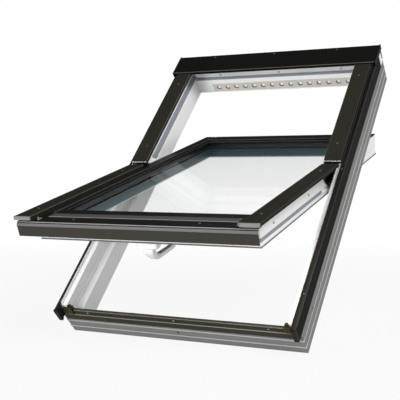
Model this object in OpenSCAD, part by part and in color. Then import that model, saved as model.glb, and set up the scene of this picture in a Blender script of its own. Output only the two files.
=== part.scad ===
// Centre-pivot roof window, 78 x 118 cm: a fixed frame with clad jambs, hood and vent,
// and a glazed sash that turns on two half-moon friction hinges.
// Each piece is drawn flat (x across, y up the slope, z outward) and then tilted to the roof pitch.

/* [Window] */
// Outer width across the jambs
frame_w = 780; // [700:1:1140]
// Outer length along the slope
frame_h = 1180; // [1100:1:1400]
// Pitch of the roof plane in degrees
pitch = 45; // [30:1:60]
// Opening of the sash in degrees
open_deg = 31.7; // [0:0.1:60]
// Height of the pivot line above the lower end, along the slope
pivot_u = 609; // [580:1:640]
// Rise of the pivot line above the outer face of the covers
pivot_rise = 19.6; // [18:0.1:24]

/* [Frame] */
// Jamb thickness at the room side
jamb_room_t = 43; // [40:0.5:48]
// Jamb thickness beside the sash
jamb_front_t = 28; // [27:0.5:30]
// Depth of the rebate's room-side end below the top of the jamb
step_low_d = 65; // [64:0.5:68]
// Depth of the rebate's outer end below the top of the jamb
step_high_d = 56; // [55:0.5:58]
// Depth of the groove along the rebate below the top of the jamb
groove_drop = 41; // [38:0.5:44]
// Width of the groove along the rebate
groove_w = 2.5; // [2:0.1:3]
// How deep the groove along the rebate is cut
groove_t = 1.5; // [1:0.1:2]
// Height of the jamb under its cladding
core_h = 132; // [130:0.5:136]
// Depth of the ledge beside the cladding
ledge_drop = 5; // [4:0.5:7]
// Head thickness at the room side
head_room_t = 30; // [28:0.5:34]
// Head thickness beside the sash
head_front_t = 19; // [17:0.5:21]
// Depth of the sill at the room side
sill_room_t = 26; // [24:0.5:28]
// Thickness of the ribbed skirt boards
skirt_t = 6; // [5:0.5:8]
// Distance of the upper rib below the edge of the sill skirt
rib_drop = 11; // [9:0.5:14]
// Distance between the two ribs
rib_pitch = 29; // [25:0.5:32]
// Width of a rib
rib_w = 3; // [2:0.5:4]
// How far a rib stands out
rib_out = 1.5; // [1:0.1:2]

/* [Cladding] */
// Thickness of the folded cladding sheet
sheet_t = 2; // [1.5:0.1:2.2]
// Distance of the raised rim of the jamb cladding from the covers
rim_gap = 2.5; // [2.2:0.1:3]
// Height of the raised rim above the jamb cladding
rim_h = 8; // [6:0.5:9]
// How far the jamb cladding stops short of the upper end
clad_cut = 37; // [34:0.5:42]
// Height of the outer flange of the jamb cladding
flange_h = 45; // [41:0.5:48]
// How far the jamb cladding runs past the lower end
clad_tail = 25; // [20:0.5:28]
// Length of the plugs in the ends of the jamb cladding
plug_l = 8; // [5:0.5:12]
// Depth of the sill upstand below the top of the jamb
upstand_drop = 28; // [27:0.5:32]
// Height of the upstand above the sill band
upstand_show = 14; // [12:0.5:16]
// Height of the lower band of the sill cladding
sill_band_h = 24; // [20:0.5:28]
// Set-back of the sill upstand behind the skirt
upstand_u = 4; // [3:0.5:5]
// Thickness of the sill upstand with its cladding
upstand_t = 9; // [7:0.5:9.5]
// Height of the corner plugs above the sill band
corner_h = 32; // [24:0.5:34]

/* [Covers and hood] */
// Width of the side covers
cover_w = 56.5; // [54:0.5:60]
// Height of the side covers above the jamb cladding
cover_h = 11.4; // [10.5:0.1:13]
// How far the covers stand inside the outer faces of the jambs
cover_in = 14; // [12:0.5:16]
// Gap between the frame and sash covers at the pivot, each side
cover_split = 5; // [3:0.5:8]
// Length of the sash covers past the lower end of the frame
nose_l = 44; // [40:0.5:50]
// Length of the hood along the slope
hood_l = 95; // [85:1:110]
// How far the hood runs past the upper end
hood_over = 4; // [3:0.5:8]
// Height of the hood above the jamb cladding
hood_h = 18; // [16:0.5:22]
// Depth of the fold along the front of the hood
hood_fold = 12; // [8:0.5:12.5]
// Thickness of the end plates of the upper covers
split_t = 2; // [1.5:0.1:2.5]
// Depth of the fold along the back of the hood
hood_back = 60; // [40:1:64]
// Thickness of the hood end plates
hood_plate_t = 3; // [2:0.5:4]

/* [Sash] */
// Gap between the sash and the jambs at the room side
side_gap = 3.4; // [3:0.1:4.5]
// Gap between the sash and the head
end_gap = 4; // [3.5:0.1:5]
// Lower end of the sash above the lower end of the frame
sash_low_u = 24; // [23.5:0.1:28]
// Depth of the sash below the outer face of the jamb cladding
sash_d = 76.6; // [74:0.1:77.5]
// Width of the stiles
stile_w = 44; // [42:0.5:60]
// Width of the upper rail
top_rail_w = 60; // [54:0.5:80]
// Width of the lower rail
low_rail_w = 64; // [58:0.5:80]
// Clearance of the sash under the frame covers
cap_clear = 3.5; // [2.5:0.1:4]
// Thickness of the glazing caps
cap_t = 2.5; // [2:0.1:3]
// Depth of the glass below the glazing caps
glass_drop = 13.5; // [12:0.1:15]
// Overlap of the sash frame over the glass edge
glass_lap = 16; // [14:0.5:18]
// Thickness of each pane
pane_t = 4; // [3:0.5:5]
// Space between the panes
pane_gap = 16; // [12:0.5:16]
// Thickness of the glazing tape
tape_t = 3; // [2:0.5:4]
// Slack round the glass unit
glass_slack = 3; // [2:0.5:4]
// Height of the front fascia
fascia_h = 32; // [28:0.5:33]
// Height of the sloping strip above the fascia
strip_h = 9; // [8:0.5:12]
// Length of the fascia's upper fold
fascia_fold = 25; // [20:0.5:28]
// How far the fascia stands out in front of the covers
fascia_out = 4; // [3:0.5:5]
// Depth of the sloping strip below the glazing caps
strip_drop = 3.5; // [3:0.1:4]
// How far the fascia leans back to its drip edge
fascia_lean = 6; // [4:0.5:7]
// Thickness of the fascia
fascia_t = 2.5; // [2:0.1:3]
// How far the side glazing caps run past the lower edge of the glass opening
cap_lap = 40; // [36:0.5:44]
// Distance of the bead on the lower glazing cap from the fascia
bead_from = 25; // [20:0.5:28]
// Width of the bead on the lower glazing cap
bead_w = 31; // [26:0.5:34]
// Height of the bead on the lower glazing cap
bead_h = 1.5; // [1:0.1:2]
// Gap between the sash covers and the jamb cladding
carry_gap = 1.5; // [1:0.1:2]
// Width of a corner clip
clip_w = 8; // [7:0.5:10]
// Length of a corner clip
clip_l = 14; // [12:0.5:18]
// Thickness of a corner clip
clip_t = 2; // [1.5:0.1:2.5]

/* [Hinges] */
// Mean radius of the curved track
track_r = 74; // [70:0.5:75]
// Width of the curved tongue
tongue_w = 8; // [6:0.5:9]
// Width of each track rib
track_rib = 7.5; // [5:0.5:8]
// Running clearance of the tongue in its track
track_play = 0.3; // [0.3:0.05:0.6]
// Thickness of the hinge plates
plate_t = 5; // [3:0.5:5.5]
// Start of the tongue below the pivot line, in degrees
tongue_start = 28; // [27:1:32]
// Length of the tongue in degrees
tongue_span = 34; // [24:1:40]

/* [Handle and lock] */
// Distance of the handle spindle from the lower end of the sash
handle_v = 20; // [20:0.5:22]
// Length of the handle grip
grip_l = 140; // [120:1:150]
// Stand-off of the grip from the sash
grip_off = 50; // [48:0.5:54]
// Width of the grip
grip_w = 20; // [18:0.5:22]
// Thickness of the grip
grip_t = 13; // [11:0.5:14]
// Diameter of the spindle
spindle_d = 13.2; // [12:0.1:14]
// Radial play of the spindle
spindle_play = 0.4; // [0.3:0.05:0.6]
// Diameter of the collar at the neck
collar_d = 24; // [20:0.5:26]
// Height of the collar at the neck
collar_h = 7.6; // [6:0.1:9]
// Half the length of the rosette
rosette_l = 33; // [28:0.5:36]
// Half the width of the rosette
rosette_w = 16; // [15:0.5:16]
// Radius of the corners of the rosette
rosette_r = 7; // [5:0.5:10]
// Thickness of the rosette
rosette_t = 20; // [18:0.5:21]
// Turn of the handle in degrees from its open position
handle_deg = 0; // [0:1:90]
// Travel of the lock rod
rod_travel = 18; // [14:0.5:20]
// Half the distance between the lock pins
pin_x = 160; // [120:1:200]

/* [Vent and screws] */
// Length of the vent grille
vent_l = 564; // [480:1:600]
// Depth of the middle of the vent grille below the head's seat
vent_drop = 36; // [35:0.5:37]
// Height of the vent grille
vent_h = 35; // [32:0.5:38]
// Diameter of a vent hole
vent_d = 19; // [14:0.5:22]
// Spacing of the vent holes
vent_pitch = 37; // [30:0.5:40]
// Diameter of a screw head
screw_d = 6.4; // [5:0.1:8]
// Height of a screw head
screw_head = 1.8; // [1:0.1:2.5]
// Diameter of a screw shank
shank_d = 3.2; // [2.5:0.1:4]
// Length of a screw shank
shank_l = 8; // [6:0.1:8.2]
// Radial play round a screw shank
shank_play = 0.1; // [0.05:0.05:0.3]

/* [Hidden] */
$fn = 48;
eps = 0.2;
// frame lines across and outward
hw = frame_w / 2;
xi = hw - jamb_room_t;
xr = hw - jamb_front_t;
clad_n = core_h + sheet_t;
cover_n = clad_n + cover_h;
cover_xo = hw - cover_in;
cover_xi = cover_xo - cover_w;
clad_x = cover_xo + rim_gap;
rim_n = clad_n + rim_h;
hood_n = clad_n + hood_h;
hood_u = frame_h + hood_over - hood_l;
pivot_n = cover_n + pivot_rise;
step_low = core_h - step_low_d;
step_high = core_h - step_high_d;
groove_n = core_h - groove_drop;
skirt_h = core_h - flange_h;
ledge_n = core_h - ledge_drop;
sill_n = step_low - 17;
seat_low = step_low - 7;
seat_high = step_high - 11;
vent_n = seat_low - vent_drop;
// sill lines
upstand_n = core_h - upstand_drop;
band_n = upstand_n - upstand_show;
sill_skirt_h = band_n - sill_band_h;
rib_high = sill_skirt_h - rib_drop;
rib_low = rib_high - rib_pitch;
ref_n = (rib_low + rib_high) / 2;
upstand_b = upstand_u + upstand_t;
corner_x = xi + 0.3;
// sash lines from the pivot
xs = xi - side_gap;
m_cov = cover_n - pivot_n;
m_jamb = clad_n - pivot_n;
m_room = m_jamb - sash_d;
m_cap = m_jamb - cap_clear;
m_top = m_cap - cap_t;
m_glass = m_cap - glass_drop;
m_back = m_glass - 2 * pane_t - pane_gap;
m_lip = m_back - tape_t;
v_low = sash_low_u - pivot_u;
v_top = frame_h - head_room_t - end_gap - pivot_u;
v_tip = frame_h - head_front_t - end_gap - pivot_u;
v_nose = -nose_l - pivot_u;
stile_in = xs - stile_w;
gx = stile_in + glass_lap;
gv0 = v_low + low_rail_w - glass_lap;
gv1 = v_top - top_rail_w + glass_lap;
cap_x = stile_in;
cap_v0 = v_low + low_rail_w;
cap_v1 = v_top - top_rail_w;
carry_m = m_jamb + carry_gap;
seal_m = m_room + 16;
seal_h = 10;
lip = 4;
fascia_x = cover_xo - 7.5;
fascia_v = v_nose - fascia_out;
fascia_m = m_cap - strip_drop;
fascia_n = fascia_m - strip_h - fascia_h;
fold_v = v_nose + fascia_fold;
rail_front = v_nose + 13;
rail_under = upstand_n - pivot_n + 4.5;
// hinge radii
r_tongue0 = track_r - tongue_w / 2;
r_tongue1 = track_r + tongue_w / 2;
r_in1 = r_tongue0 - track_play;
r_in0 = r_in1 - track_rib;
r_out0 = r_tongue1 + track_play;
r_out1 = r_out0 + track_rib;
hinge_top = m_jamb - 3;
track_from = 25;
hinge_xs = xs + plate_t;
hinge_xf = xr - plate_t;
// handle and lock
hv = v_low + handle_v;
collar_m = m_room - rosette_t - spindle_play;
grip_m = m_room - grip_off - collar_m;
rod_m = m_room + 33;
rod_h = 10;
rod_t = 4;
rod_l = 2 * pin_x + 60;
groove_d = 8;
pin_d = 8;
pin_out = 8;
keep_t = 4;
// screw places
sill_screw_x = hw - 93;
jamb_screw_u = [102, pivot_u - 21];
cover_screw_u = [pivot_u + 83, hood_u - 60];
sash_screw_v = [-101, v_low + 13];
cover_mid = (cover_xo + cover_xi) / 2;
hood_screw_x = [-240, 0, 240];
head_screw_x = [-240, 0, 240];
stile_screw_v = [-208, v_low + 94];
stile_screw_m = m_room + 41;
cap_screw_x = 195;
cap_screw_v = v_nose + 30;

function rib(z) = [[rib_out, z - rib_w / 2], [rib_out, z + rib_w / 2]];

// tilt from the flat window to the roof pitch
module installed() rotate([pitch, 0, 0]) translate([0, 0, -ref_n]) children();

// place of the sash: its own axes start at the pivot line
module on_sash() installed() translate([0, pivot_u, pivot_n]) rotate([-open_deg, 0, 0]) children();

// right-hand pieces are mirrored for the left side
module hand(s) mirror([s < 0 ? 1 : 0, 0, 0]) children();

module both() {
  children();
  mirror([1, 0, 0]) children();
}

// bar along x with a section of [y, z] points
module bar_x(x0, x1, pts) translate([x0, 0, 0]) rotate([90, 0, 90])
  linear_extrude(x1 - x0) polygon(pts);

// bar along y with a section of [x, z] points
module bar_y(y0, y1, pts) translate([0, y1, 0]) rotate([90, 0, 0])
  linear_extrude(y1 - y0) polygon(pts);

// box between two corners
module block(a, b) translate(a) cube(b - a);

// screw with its head outward along z, seated at the origin
module screw() {
  difference() {
    cylinder(d = screw_d, h = screw_head);
    translate([0, 0, screw_head - 0.8]) cylinder(d = screw_d * 0.5, h = 1, $fn = 6);
  }
  translate([0, 0, -shank_l]) cylinder(d = shank_d, h = shank_l + 0.5);
}

// clearance hole of a screw
module screw_hole() translate([0, 0, -shank_l - 0.5])
  cylinder(d = shank_d + 2 * shank_play, h = shank_l + 2);

module at_sill_screws() for (x = [-sill_screw_x, 0, sill_screw_x])
  translate([x, upstand_u, (band_n + upstand_n) / 2 - 1]) rotate([90, 0, 0]) children();

module at_jamb_screws() for (u = jamb_screw_u) translate([(clad_x + hw) / 2, u, clad_n]) children();

module at_cover_screws() for (u = cover_screw_u) translate([cover_mid, u, cover_n]) children();

module at_hood_screws() for (x = hood_screw_x)
  translate([x, frame_h - head_front_t / 2, hood_n]) children();

module at_head_screws() for (x = head_screw_x)
  translate([x, frame_h - head_front_t, seat_high + 10]) rotate([90, 0, 0]) children();

module at_sash_screws() for (v = sash_screw_v) translate([cover_mid, v, m_cov]) children();

module at_stile_screws() for (v = stile_screw_v)
  translate([xs, v, stile_screw_m]) rotate([0, 90, 0]) children();

module at_cap_screws() for (x = [-cap_screw_x, cap_screw_x]) translate([x, cap_screw_v, m_cap]) children();

// white frame rails

module jamb_core(s) color("#f1f2f3") installed() hand(s) difference() {
  bar_y(skirt_t, frame_h - skirt_t, [[hw - skirt_t, 0], [xi, 0], [xi, step_low], [xr, step_high],
    [xr, groove_n], [xr + groove_t, groove_n], [xr + groove_t, groove_n + groove_w],
    [xr, groove_n + groove_w], [xr, ledge_n], [clad_x, ledge_n], [clad_x, core_h], [hw, core_h],
    [hw, skirt_h], [hw - skirt_t, skirt_h]]);
  at_jamb_screws() screw_hole();
}

module frame_jamb_left() jamb_core(-1);
module frame_jamb_right() jamb_core(1);

module frame_sill() color("#f1f2f3") installed() difference() {
  union() {
    bar_x(-xi, xi, [[skirt_t, 0], [sill_room_t, 0], [sill_room_t, sill_n - 22], [upstand_b + 7, sill_n],
      [skirt_t, sill_n]]);
    bar_x(-xi, xi, [[skirt_t, sill_n], [upstand_b, sill_n], [upstand_b, upstand_n - sheet_t],
      [upstand_u + sheet_t, upstand_n - sheet_t], [upstand_u + sheet_t, band_n - sheet_t],
      [0, band_n - sheet_t], [0, sill_skirt_h], [skirt_t, sill_skirt_h]]);
  }
  at_sill_screws() screw_hole();
}

module frame_head() color("#f1f2f3") installed() difference() {
  bar_x(-xi, xi, [[frame_h - skirt_t, 0], [frame_h - head_room_t, 0], [frame_h - head_room_t, seat_low],
    [frame_h - head_front_t, seat_high], [frame_h - head_front_t, core_h - 4], [frame_h, core_h - 4],
    [frame_h, skirt_h], [frame_h - skirt_t, skirt_h]]);
  at_head_screws() screw_hole();
  block([-vent_l / 2 + 8, frame_h - head_room_t - 1, vent_n - vent_d / 2 - 2],
    [vent_l / 2 - 8, frame_h - head_room_t + 9, vent_n + vent_d / 2 + 2]);
}

// ribbed skirt boards, mitred at the corners

module skirt_side(s) color("#87888a") installed() hand(s) intersection() {
  bar_y(-3, frame_h + 3, concat([[hw - skirt_t, 0], [hw, 0]], [for (z = [rib_low, rib_high]) each
    concat([[hw, z - rib_w / 2]], [for (p = rib(z)) [hw + p[0], p[1]]], [[hw, z + rib_w / 2]])],
    [[hw, skirt_h], [hw - skirt_t, skirt_h]]));
  translate([0, 0, -1]) linear_extrude(skirt_h + 2) polygon([[hw - skirt_t - 1, skirt_t + 1], [hw + 3, -3],
    [hw + 3, frame_h + 3], [hw - skirt_t - 1, frame_h - skirt_t - 1]]);
}

module skirt_left() skirt_side(-1);
module skirt_right() skirt_side(1);

// skirt along x with its outer face toward -y
module skirt_cross(h) intersection() {
  bar_x(-hw - 3, hw + 3, concat([[skirt_t, 0], [0, 0]], [for (z = [rib_low, rib_high]) each
    concat([[0, z - rib_w / 2]], [for (p = rib(z)) [-p[0], p[1]]], [[0, z + rib_w / 2]])],
    [[0, h], [skirt_t, h]]));
  translate([0, 0, -1]) linear_extrude(h + 2) polygon([[-hw - 3, -3], [hw + 3, -3],
    [hw - skirt_t - 1, skirt_t + 1], [-hw + skirt_t + 1, skirt_t + 1]]);
}

module skirt_sill() color("#87888a") installed() skirt_cross(sill_skirt_h);

module skirt_head() color("#87888a") installed()
  translate([0, frame_h, 0]) mirror([0, 1, 0]) skirt_cross(skirt_h);

// dark folded cladding

module jamb_cladding(s) color("#2d2d28") installed() hand(s) difference() {
  bar_y(-clad_tail + plug_l, frame_h - clad_cut, [[hw, skirt_h], [hw + sheet_t, skirt_h],
    [hw + sheet_t, clad_n], [clad_x + sheet_t, clad_n], [clad_x + sheet_t, rim_n], [clad_x, rim_n],
    [clad_x, core_h], [hw, core_h]]);
  at_jamb_screws() screw_hole();
}

module jamb_cladding_left() jamb_cladding(-1);
module jamb_cladding_right() jamb_cladding(1);

module cladding_plug(s) color("#4a3d30") installed() hand(s) union() {
  block([clad_x, -clad_tail, skirt_h], [hw + sheet_t, -clad_tail + plug_l, clad_n]);
  block([clad_x, -clad_tail, core_h], [clad_x + sheet_t, -clad_tail + plug_l, rim_n]);
  block([clad_x + sheet_t + eps, -clad_tail + plug_l, skirt_h + 2], [hw - eps, -1, core_h - eps]);
}

module cladding_plug_left() cladding_plug(-1);
module cladding_plug_right() cladding_plug(1);

module sill_cladding() color("#46423c") installed() difference() {
  union() {
    bar_x(-clad_x + eps, clad_x - eps, [[-sheet_t, sill_skirt_h], [0, sill_skirt_h], [0, band_n - sheet_t],
      [upstand_u + sheet_t, band_n - sheet_t], [upstand_u + sheet_t, band_n], [-sheet_t, band_n]]);
    bar_x(-xi, xi, [[upstand_u, band_n - sheet_t], [upstand_u + sheet_t, band_n - sheet_t],
      [upstand_u + sheet_t, upstand_n - sheet_t], [upstand_b, upstand_n - sheet_t], [upstand_b, upstand_n],
      [upstand_u, upstand_n]]);
  }
  at_sill_screws() screw_hole();
}

module corner_plugs() color("#4a3d30") installed() both() union() {
  block([corner_x, -sheet_t, band_n], [xr, upstand_b, band_n + corner_h - 6]);
  block([corner_x, -sheet_t, band_n], [clad_x - eps, skirt_t, band_n + corner_h - 6]);
  block([corner_x + 4, 2, band_n + corner_h - 6], [xr, upstand_b - 1, band_n + corner_h]);
}

// upper covers on the frame with the stops they are screwed to

module frame_stop(s) color("#f1f2f3") installed() hand(s) difference() {
  bar_y(pivot_u + cover_split + 2, frame_h - 12, [[cover_xi + sheet_t, clad_n], [xr + 1, clad_n],
    [xr + 1, ledge_n], [cover_xo - sheet_t, ledge_n], [cover_xo - sheet_t, cover_n - sheet_t],
    [cover_xi + sheet_t, cover_n - sheet_t]]);
  at_cover_screws() screw_hole();
}

module frame_stop_left() frame_stop(-1);
module frame_stop_right() frame_stop(1);

module upper_cover(s) color("#2d2d28") installed() hand(s) difference() {
  bar_y(pivot_u + cover_split, frame_h - 10, [[cover_xo, ledge_n], [cover_xo, cover_n], [cover_xi, cover_n],
    [cover_xi, clad_n], [cover_xi + sheet_t, clad_n], [cover_xi + sheet_t, cover_n - sheet_t],
    [cover_xo - sheet_t, cover_n - sheet_t], [cover_xo - sheet_t, ledge_n]]);
  at_cover_screws() screw_hole();
}

module upper_cover_left() upper_cover(-1);
module upper_cover_right() upper_cover(1);

// notched end plates of the upper covers at the pivot line
module cover_split_ends() color("#b4b6b8") installed() both() difference() {
  block([cover_xi, pivot_u + cover_split - split_t, clad_n], [cover_xo, pivot_u + cover_split, cover_n]);
  for (k = [1 : 4]) translate([cover_xi + cover_w * k / 5 - 3, pivot_u, cover_n - sheet_t - 3])
    cube([6, cover_split + 1, sheet_t + 4]);
}

module hood() color("#20201c") installed() difference() {
  union() {
    bar_x(-hw, hw, [[hood_u, hood_n], [hood_u, cover_n], [hood_u + sheet_t, cover_n],
      [hood_u + sheet_t, hood_n - sheet_t], [frame_h + hood_over - sheet_t, hood_n - sheet_t],
      [frame_h + hood_over - sheet_t, hood_n - hood_back], [frame_h + hood_over, hood_n - hood_back],
      [frame_h + hood_over, hood_n]]);
    bar_x(-cover_xi + eps, cover_xi - eps, [[hood_u, cover_n], [hood_u, hood_n - hood_fold],
      [hood_u + sheet_t, hood_n - hood_fold], [hood_u + sheet_t, cover_n]]);
  }
  at_hood_screws() screw_hole();
}

// brackets on the head that carry the hood
module hood_brackets() color("#f1f2f3") installed() difference() {
  for (x = hood_screw_x) block([x - 12, frame_h - head_front_t + 2, core_h - 4],
    [x + 12, frame_h - 2, hood_n - sheet_t]);
  at_hood_screws() screw_hole();
}

module hood_plate(s) color("#161614") installed() hand(s) union() {
  block([hw, hood_u - 2, clad_n], [hw + hood_plate_t, frame_h + hood_over + 2, hood_n + 1]);
  block([clad_x + sheet_t + eps, hood_u + sheet_t + 2, clad_n], [hw, frame_h - 14, hood_n - sheet_t]);
}

module hood_plate_left() hood_plate(-1);
module hood_plate_right() hood_plate(1);

// grey seal round the upper half of the frame

module frame_seal() color("#878c94") installed() union() {
  both() bar_y(pivot_u + 98, frame_h - head_front_t - 3, [[xi, step_low], [xr, step_high],
    [xr - 1.5, step_high + 2], [xi + 0.5, step_low + 4]]);
  bar_x(-xi, xi, [[frame_h - head_room_t, seat_low], [frame_h - head_front_t, seat_high],
    [frame_h - head_front_t - 2, seat_high + 2], [frame_h - head_room_t + 0.5, seat_low + 4]]);
}

module vent_grille() color("#c3beb7") installed() difference() {
  block([-vent_l / 2, frame_h - head_room_t - 2.5, vent_n - vent_h / 2],
    [vent_l / 2, frame_h - head_room_t, vent_n + vent_h / 2]);
  for (k = [-floor((vent_l / 2 - vent_d) / vent_pitch) : floor((vent_l / 2 - vent_d) / vent_pitch)])
    translate([k * vent_pitch, frame_h - head_room_t - 3, vent_n]) rotate([-90, 0, 0])
      cylinder(d = vent_d, h = 4);
}

// half-moon hinges: a curved tongue on the sash runs in a curved track on the jamb

// disc about the pivot line from x0 to x1
module disc_x(r, x0, x1) translate([x0, 0, 0]) rotate([90, 0, 90])
  cylinder(r = r, h = x1 - x0, $fn = 96);

// space below the covers that the hinges may fill
module below_covers(r, x0, x1) block([x0 - 1, -r - 1, -r - 1], [x1 + 1, r + 1, hinge_top]);

// sector of a ring about the pivot line, angles in degrees below the upward slope
module arc_x(r0, r1, x0, x1, a0, a1) intersection() {
  below_covers(r1, x0, x1);
  difference() {
    disc_x(r1, x0, x1);
    disc_x(r0, x0 - 1, x1 + 1);
  }
  bar_x(x0 - 1, x1 + 1, concat([[0, 0]], [for (k = [0 : 6]) let (a = -a0 - (a1 - a0) * k / 6)
    [3 * r1 * cos(a), 3 * r1 * sin(a)]]));
}

// lower part of a disc about the pivot line
module half_moon(r, x0, x1) intersection() {
  disc_x(r, x0, x1);
  below_covers(r, x0, x1);
}

module frame_hinge(s) color("#463720") installed() hand(s) translate([0, pivot_u, pivot_n]) union() {
  half_moon(r_out1, hinge_xf, xr);
  arc_x(r_in0, r_in1, hinge_xs + 0.8, hinge_xf, track_from, 180 - track_from);
  arc_x(r_out0, r_out1, hinge_xs + 0.8, hinge_xf, track_from, 180 - track_from);
}

module frame_hinge_left() frame_hinge(-1);
module frame_hinge_right() frame_hinge(1);

module sash_hinge(s) color("#463720") on_sash() hand(s) union() {
  half_moon(r_out1 + 2, xs, hinge_xs);
  arc_x(r_tongue0, r_tongue1, hinge_xs, hinge_xf - 0.5, tongue_start, tongue_start + tongue_span);
}

module sash_hinge_left() sash_hinge(-1);
module sash_hinge_right() sash_hinge(1);

// white sash frame

module stile(s) color("#f1f2f3") on_sash() hand(s) difference() {
  bar_y(v_low, v_top, [[xs - lip, m_room], [stile_in + 4, m_room], [stile_in, m_room + 4],
    [stile_in, m_lip], [gx + glass_slack, m_lip], [gx + glass_slack, m_top], [xs, m_top],
    [xs, seal_m + seal_h], [xs - lip, seal_m + seal_h], [xs - lip, seal_m], [xs, seal_m],
    [xs, m_room + lip], [xs - lip, m_room + lip]]);
  for (v = [v_low, v_top]) block([stile_in - 1, v - lip, m_room - 1], [xs + 1, v + lip, m_room + lip]);
  at_stile_screws() screw_hole();
}

module sash_stile_left() stile(-1);
module sash_stile_right() stile(1);

module sash_lower_rail() color("#f1f2f3") on_sash() difference() {
  union() {
    bar_x(-stile_in, stile_in, [[v_low + lip, m_room], [v_low + low_rail_w - 4, m_room],
      [v_low + low_rail_w, m_room + 4], [v_low + low_rail_w, m_lip], [gv0 - glass_slack, m_lip],
      [gv0 - glass_slack, rail_under], [v_low, rail_under], [v_low, seal_m + seal_h],
      [v_low + lip, seal_m + seal_h], [v_low + lip, seal_m], [v_low, seal_m], [v_low, m_room + lip],
      [v_low + lip, m_room + lip]]);
    bar_x(-xs, xs, [[rail_front, rail_under], [rail_front, m_top], [v_low, m_top], [v_low, rail_under]]);
    bar_x(-stile_in, stile_in, [[v_low, rail_under], [v_low, m_top], [gv0 - glass_slack, m_top],
      [gv0 - glass_slack, rail_under]]);
  }
  block([-rod_l / 2 - rod_travel - 2, v_low - 1, rod_m - rod_h / 2 - 1],
    [rod_l / 2 + rod_travel + 2, v_low + groove_d, rod_m + rod_h / 2 + 1]);
  at_cap_screws() screw_hole();
  translate([0, hv, m_room - 1]) cylinder(d = spindle_d + 2 * spindle_play, h = 20);
}

module sash_upper_rail() color("#f1f2f3") on_sash() union() {
  bar_x(-stile_in, stile_in, [[v_top - lip, m_room], [v_top - top_rail_w + 4, m_room],
    [v_top - top_rail_w, m_room + 4], [v_top - top_rail_w, m_lip], [gv1 + glass_slack, m_lip],
    [gv1 + glass_slack, m_top], [v_top, m_top], [v_top, m_room + lip], [v_top - lip, m_room + lip]]);
  bar_x(-stile_in, stile_in, [[v_top, m_top], [v_top, m_top - 14], [v_tip - 4, m_top - 14],
    [v_tip - 4, m_top]]);
}

// insulating glass

module pane_outer() color("#c9dedd", 0.35) on_sash() block([-gx, gv0, m_glass - pane_t], [gx, gv1, m_glass]);

module pane_inner() color("#c9dedd", 0.35) on_sash() block([-gx, gv0, m_back], [gx, gv1, m_back + pane_t]);

// rectangular ring round the glass, w wide, set in by d
module glass_ring(d, w, m0, m1) difference() {
  block([-gx + d, gv0 + d, m0], [gx - d, gv1 - d, m1]);
  block([-gx + d + w, gv0 + d + w, m0 - 1], [gx - d - w, gv1 - d - w, m1 + 1]);
}

module spacer() color("#2b3133") on_sash() glass_ring(2, 11, m_back + pane_t, m_glass - pane_t);

module glazing_tape() color("#202324") on_sash() glass_ring(1, glass_lap - 3, m_lip, m_back);

// section of a glazing cap: run along s from the glass side outward
function cap_pts(a, b, c) = [[a, m_glass], [a, m_glass + 6], [a + b * 7, m_cap], [a + b * 14, m_cap],
  [a + b * 15, m_cap - 1], [a + b * 17, m_cap - 1], [a + b * 18, m_cap], [c, m_cap], [c, m_top],
  [a + b * (glass_lap + glass_slack), m_top], [a + b * (glass_lap + glass_slack - 1), m_glass + 4],
  [a + b * 4, m_glass + 4], [a + b * 4, m_glass]];

module glazing_cap_side(s) color("#1d1d1b") on_sash() hand(s) union() {
  bar_y(cap_v0 - cap_lap, v_tip, cap_pts(cap_x, 1, cover_xi + sheet_t - eps));
  block([cover_xi + sheet_t - eps, cover_split + 4, m_top], [xs - 1, v_tip, m_cap]);
}

module glazing_cap_left() glazing_cap_side(-1);
module glazing_cap_right() glazing_cap_side(1);

module glazing_cap_upper() color("#1d1d1b") on_sash() bar_x(-cap_x, cap_x, cap_pts(cap_v1, 1, v_tip));

module glazing_cap_lower() color("#2a2927") on_sash() difference() {
  union() {
    bar_x(-cap_x, cap_x, cap_pts(cap_v0, -1, fold_v));
    both() block([cap_x, fold_v, m_top], [cover_xi + sheet_t - eps, cap_v0 - cap_lap, m_cap]);
    bar_x(-cap_x, cap_x, [[fold_v + bead_from, m_cap], [fold_v + bead_from + bead_h, m_cap + bead_h],
      [fold_v + bead_from + bead_w - bead_h, m_cap + bead_h], [fold_v + bead_from + bead_w, m_cap]]);
  }
  at_cap_screws() screw_hole();
}

// lower covers on the sash with the stops they are screwed to

module sash_stop(s) color("#f1f2f3") on_sash() hand(s) difference() {
  union() {
    bar_y(v_nose, -cover_split - 2, [[cover_xi + sheet_t, carry_m], [cover_xo - sheet_t, carry_m],
      [cover_xo - sheet_t, m_cov - sheet_t], [cover_xi + sheet_t, m_cov - sheet_t]]);
    block([cover_xi + sheet_t, fold_v + eps, m_top], [xs, -cover_split - 2, carry_m]);
  }
  at_sash_screws() screw_hole();
}

module sash_stop_left() sash_stop(-1);
module sash_stop_right() sash_stop(1);

module sash_cover(s) color("#2d2d28") on_sash() hand(s) difference() {
  bar_y(v_nose, -cover_split, [[cover_xo, carry_m], [cover_xo, m_cov], [cover_xi, m_cov], [cover_xi, m_cap],
    [cover_xi + sheet_t, m_cap], [cover_xi + sheet_t, m_cov - sheet_t], [cover_xo - sheet_t, m_cov - sheet_t],
    [cover_xo - sheet_t, carry_m]]);
  at_sash_screws() screw_hole();
}

module sash_cover_left() sash_cover(-1);
module sash_cover_right() sash_cover(1);

module cover_end(s) color("#a5a5a3") on_sash() hand(s) intersection() {
  block([cover_xi, v_nose - 6, carry_m], [cover_xo, v_nose, m_cov]);
  union() {
    block([cover_xi + 6, v_nose - 6, carry_m], [cover_xo - 6, v_nose, m_cov]);
    for (x = [cover_xi + 6, cover_xo - 6]) translate([x, v_nose, carry_m])
      cylinder(r = 6, h = m_cov - carry_m);
  }
}

module cover_end_left() cover_end(-1);
module cover_end_right() cover_end(1);

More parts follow.
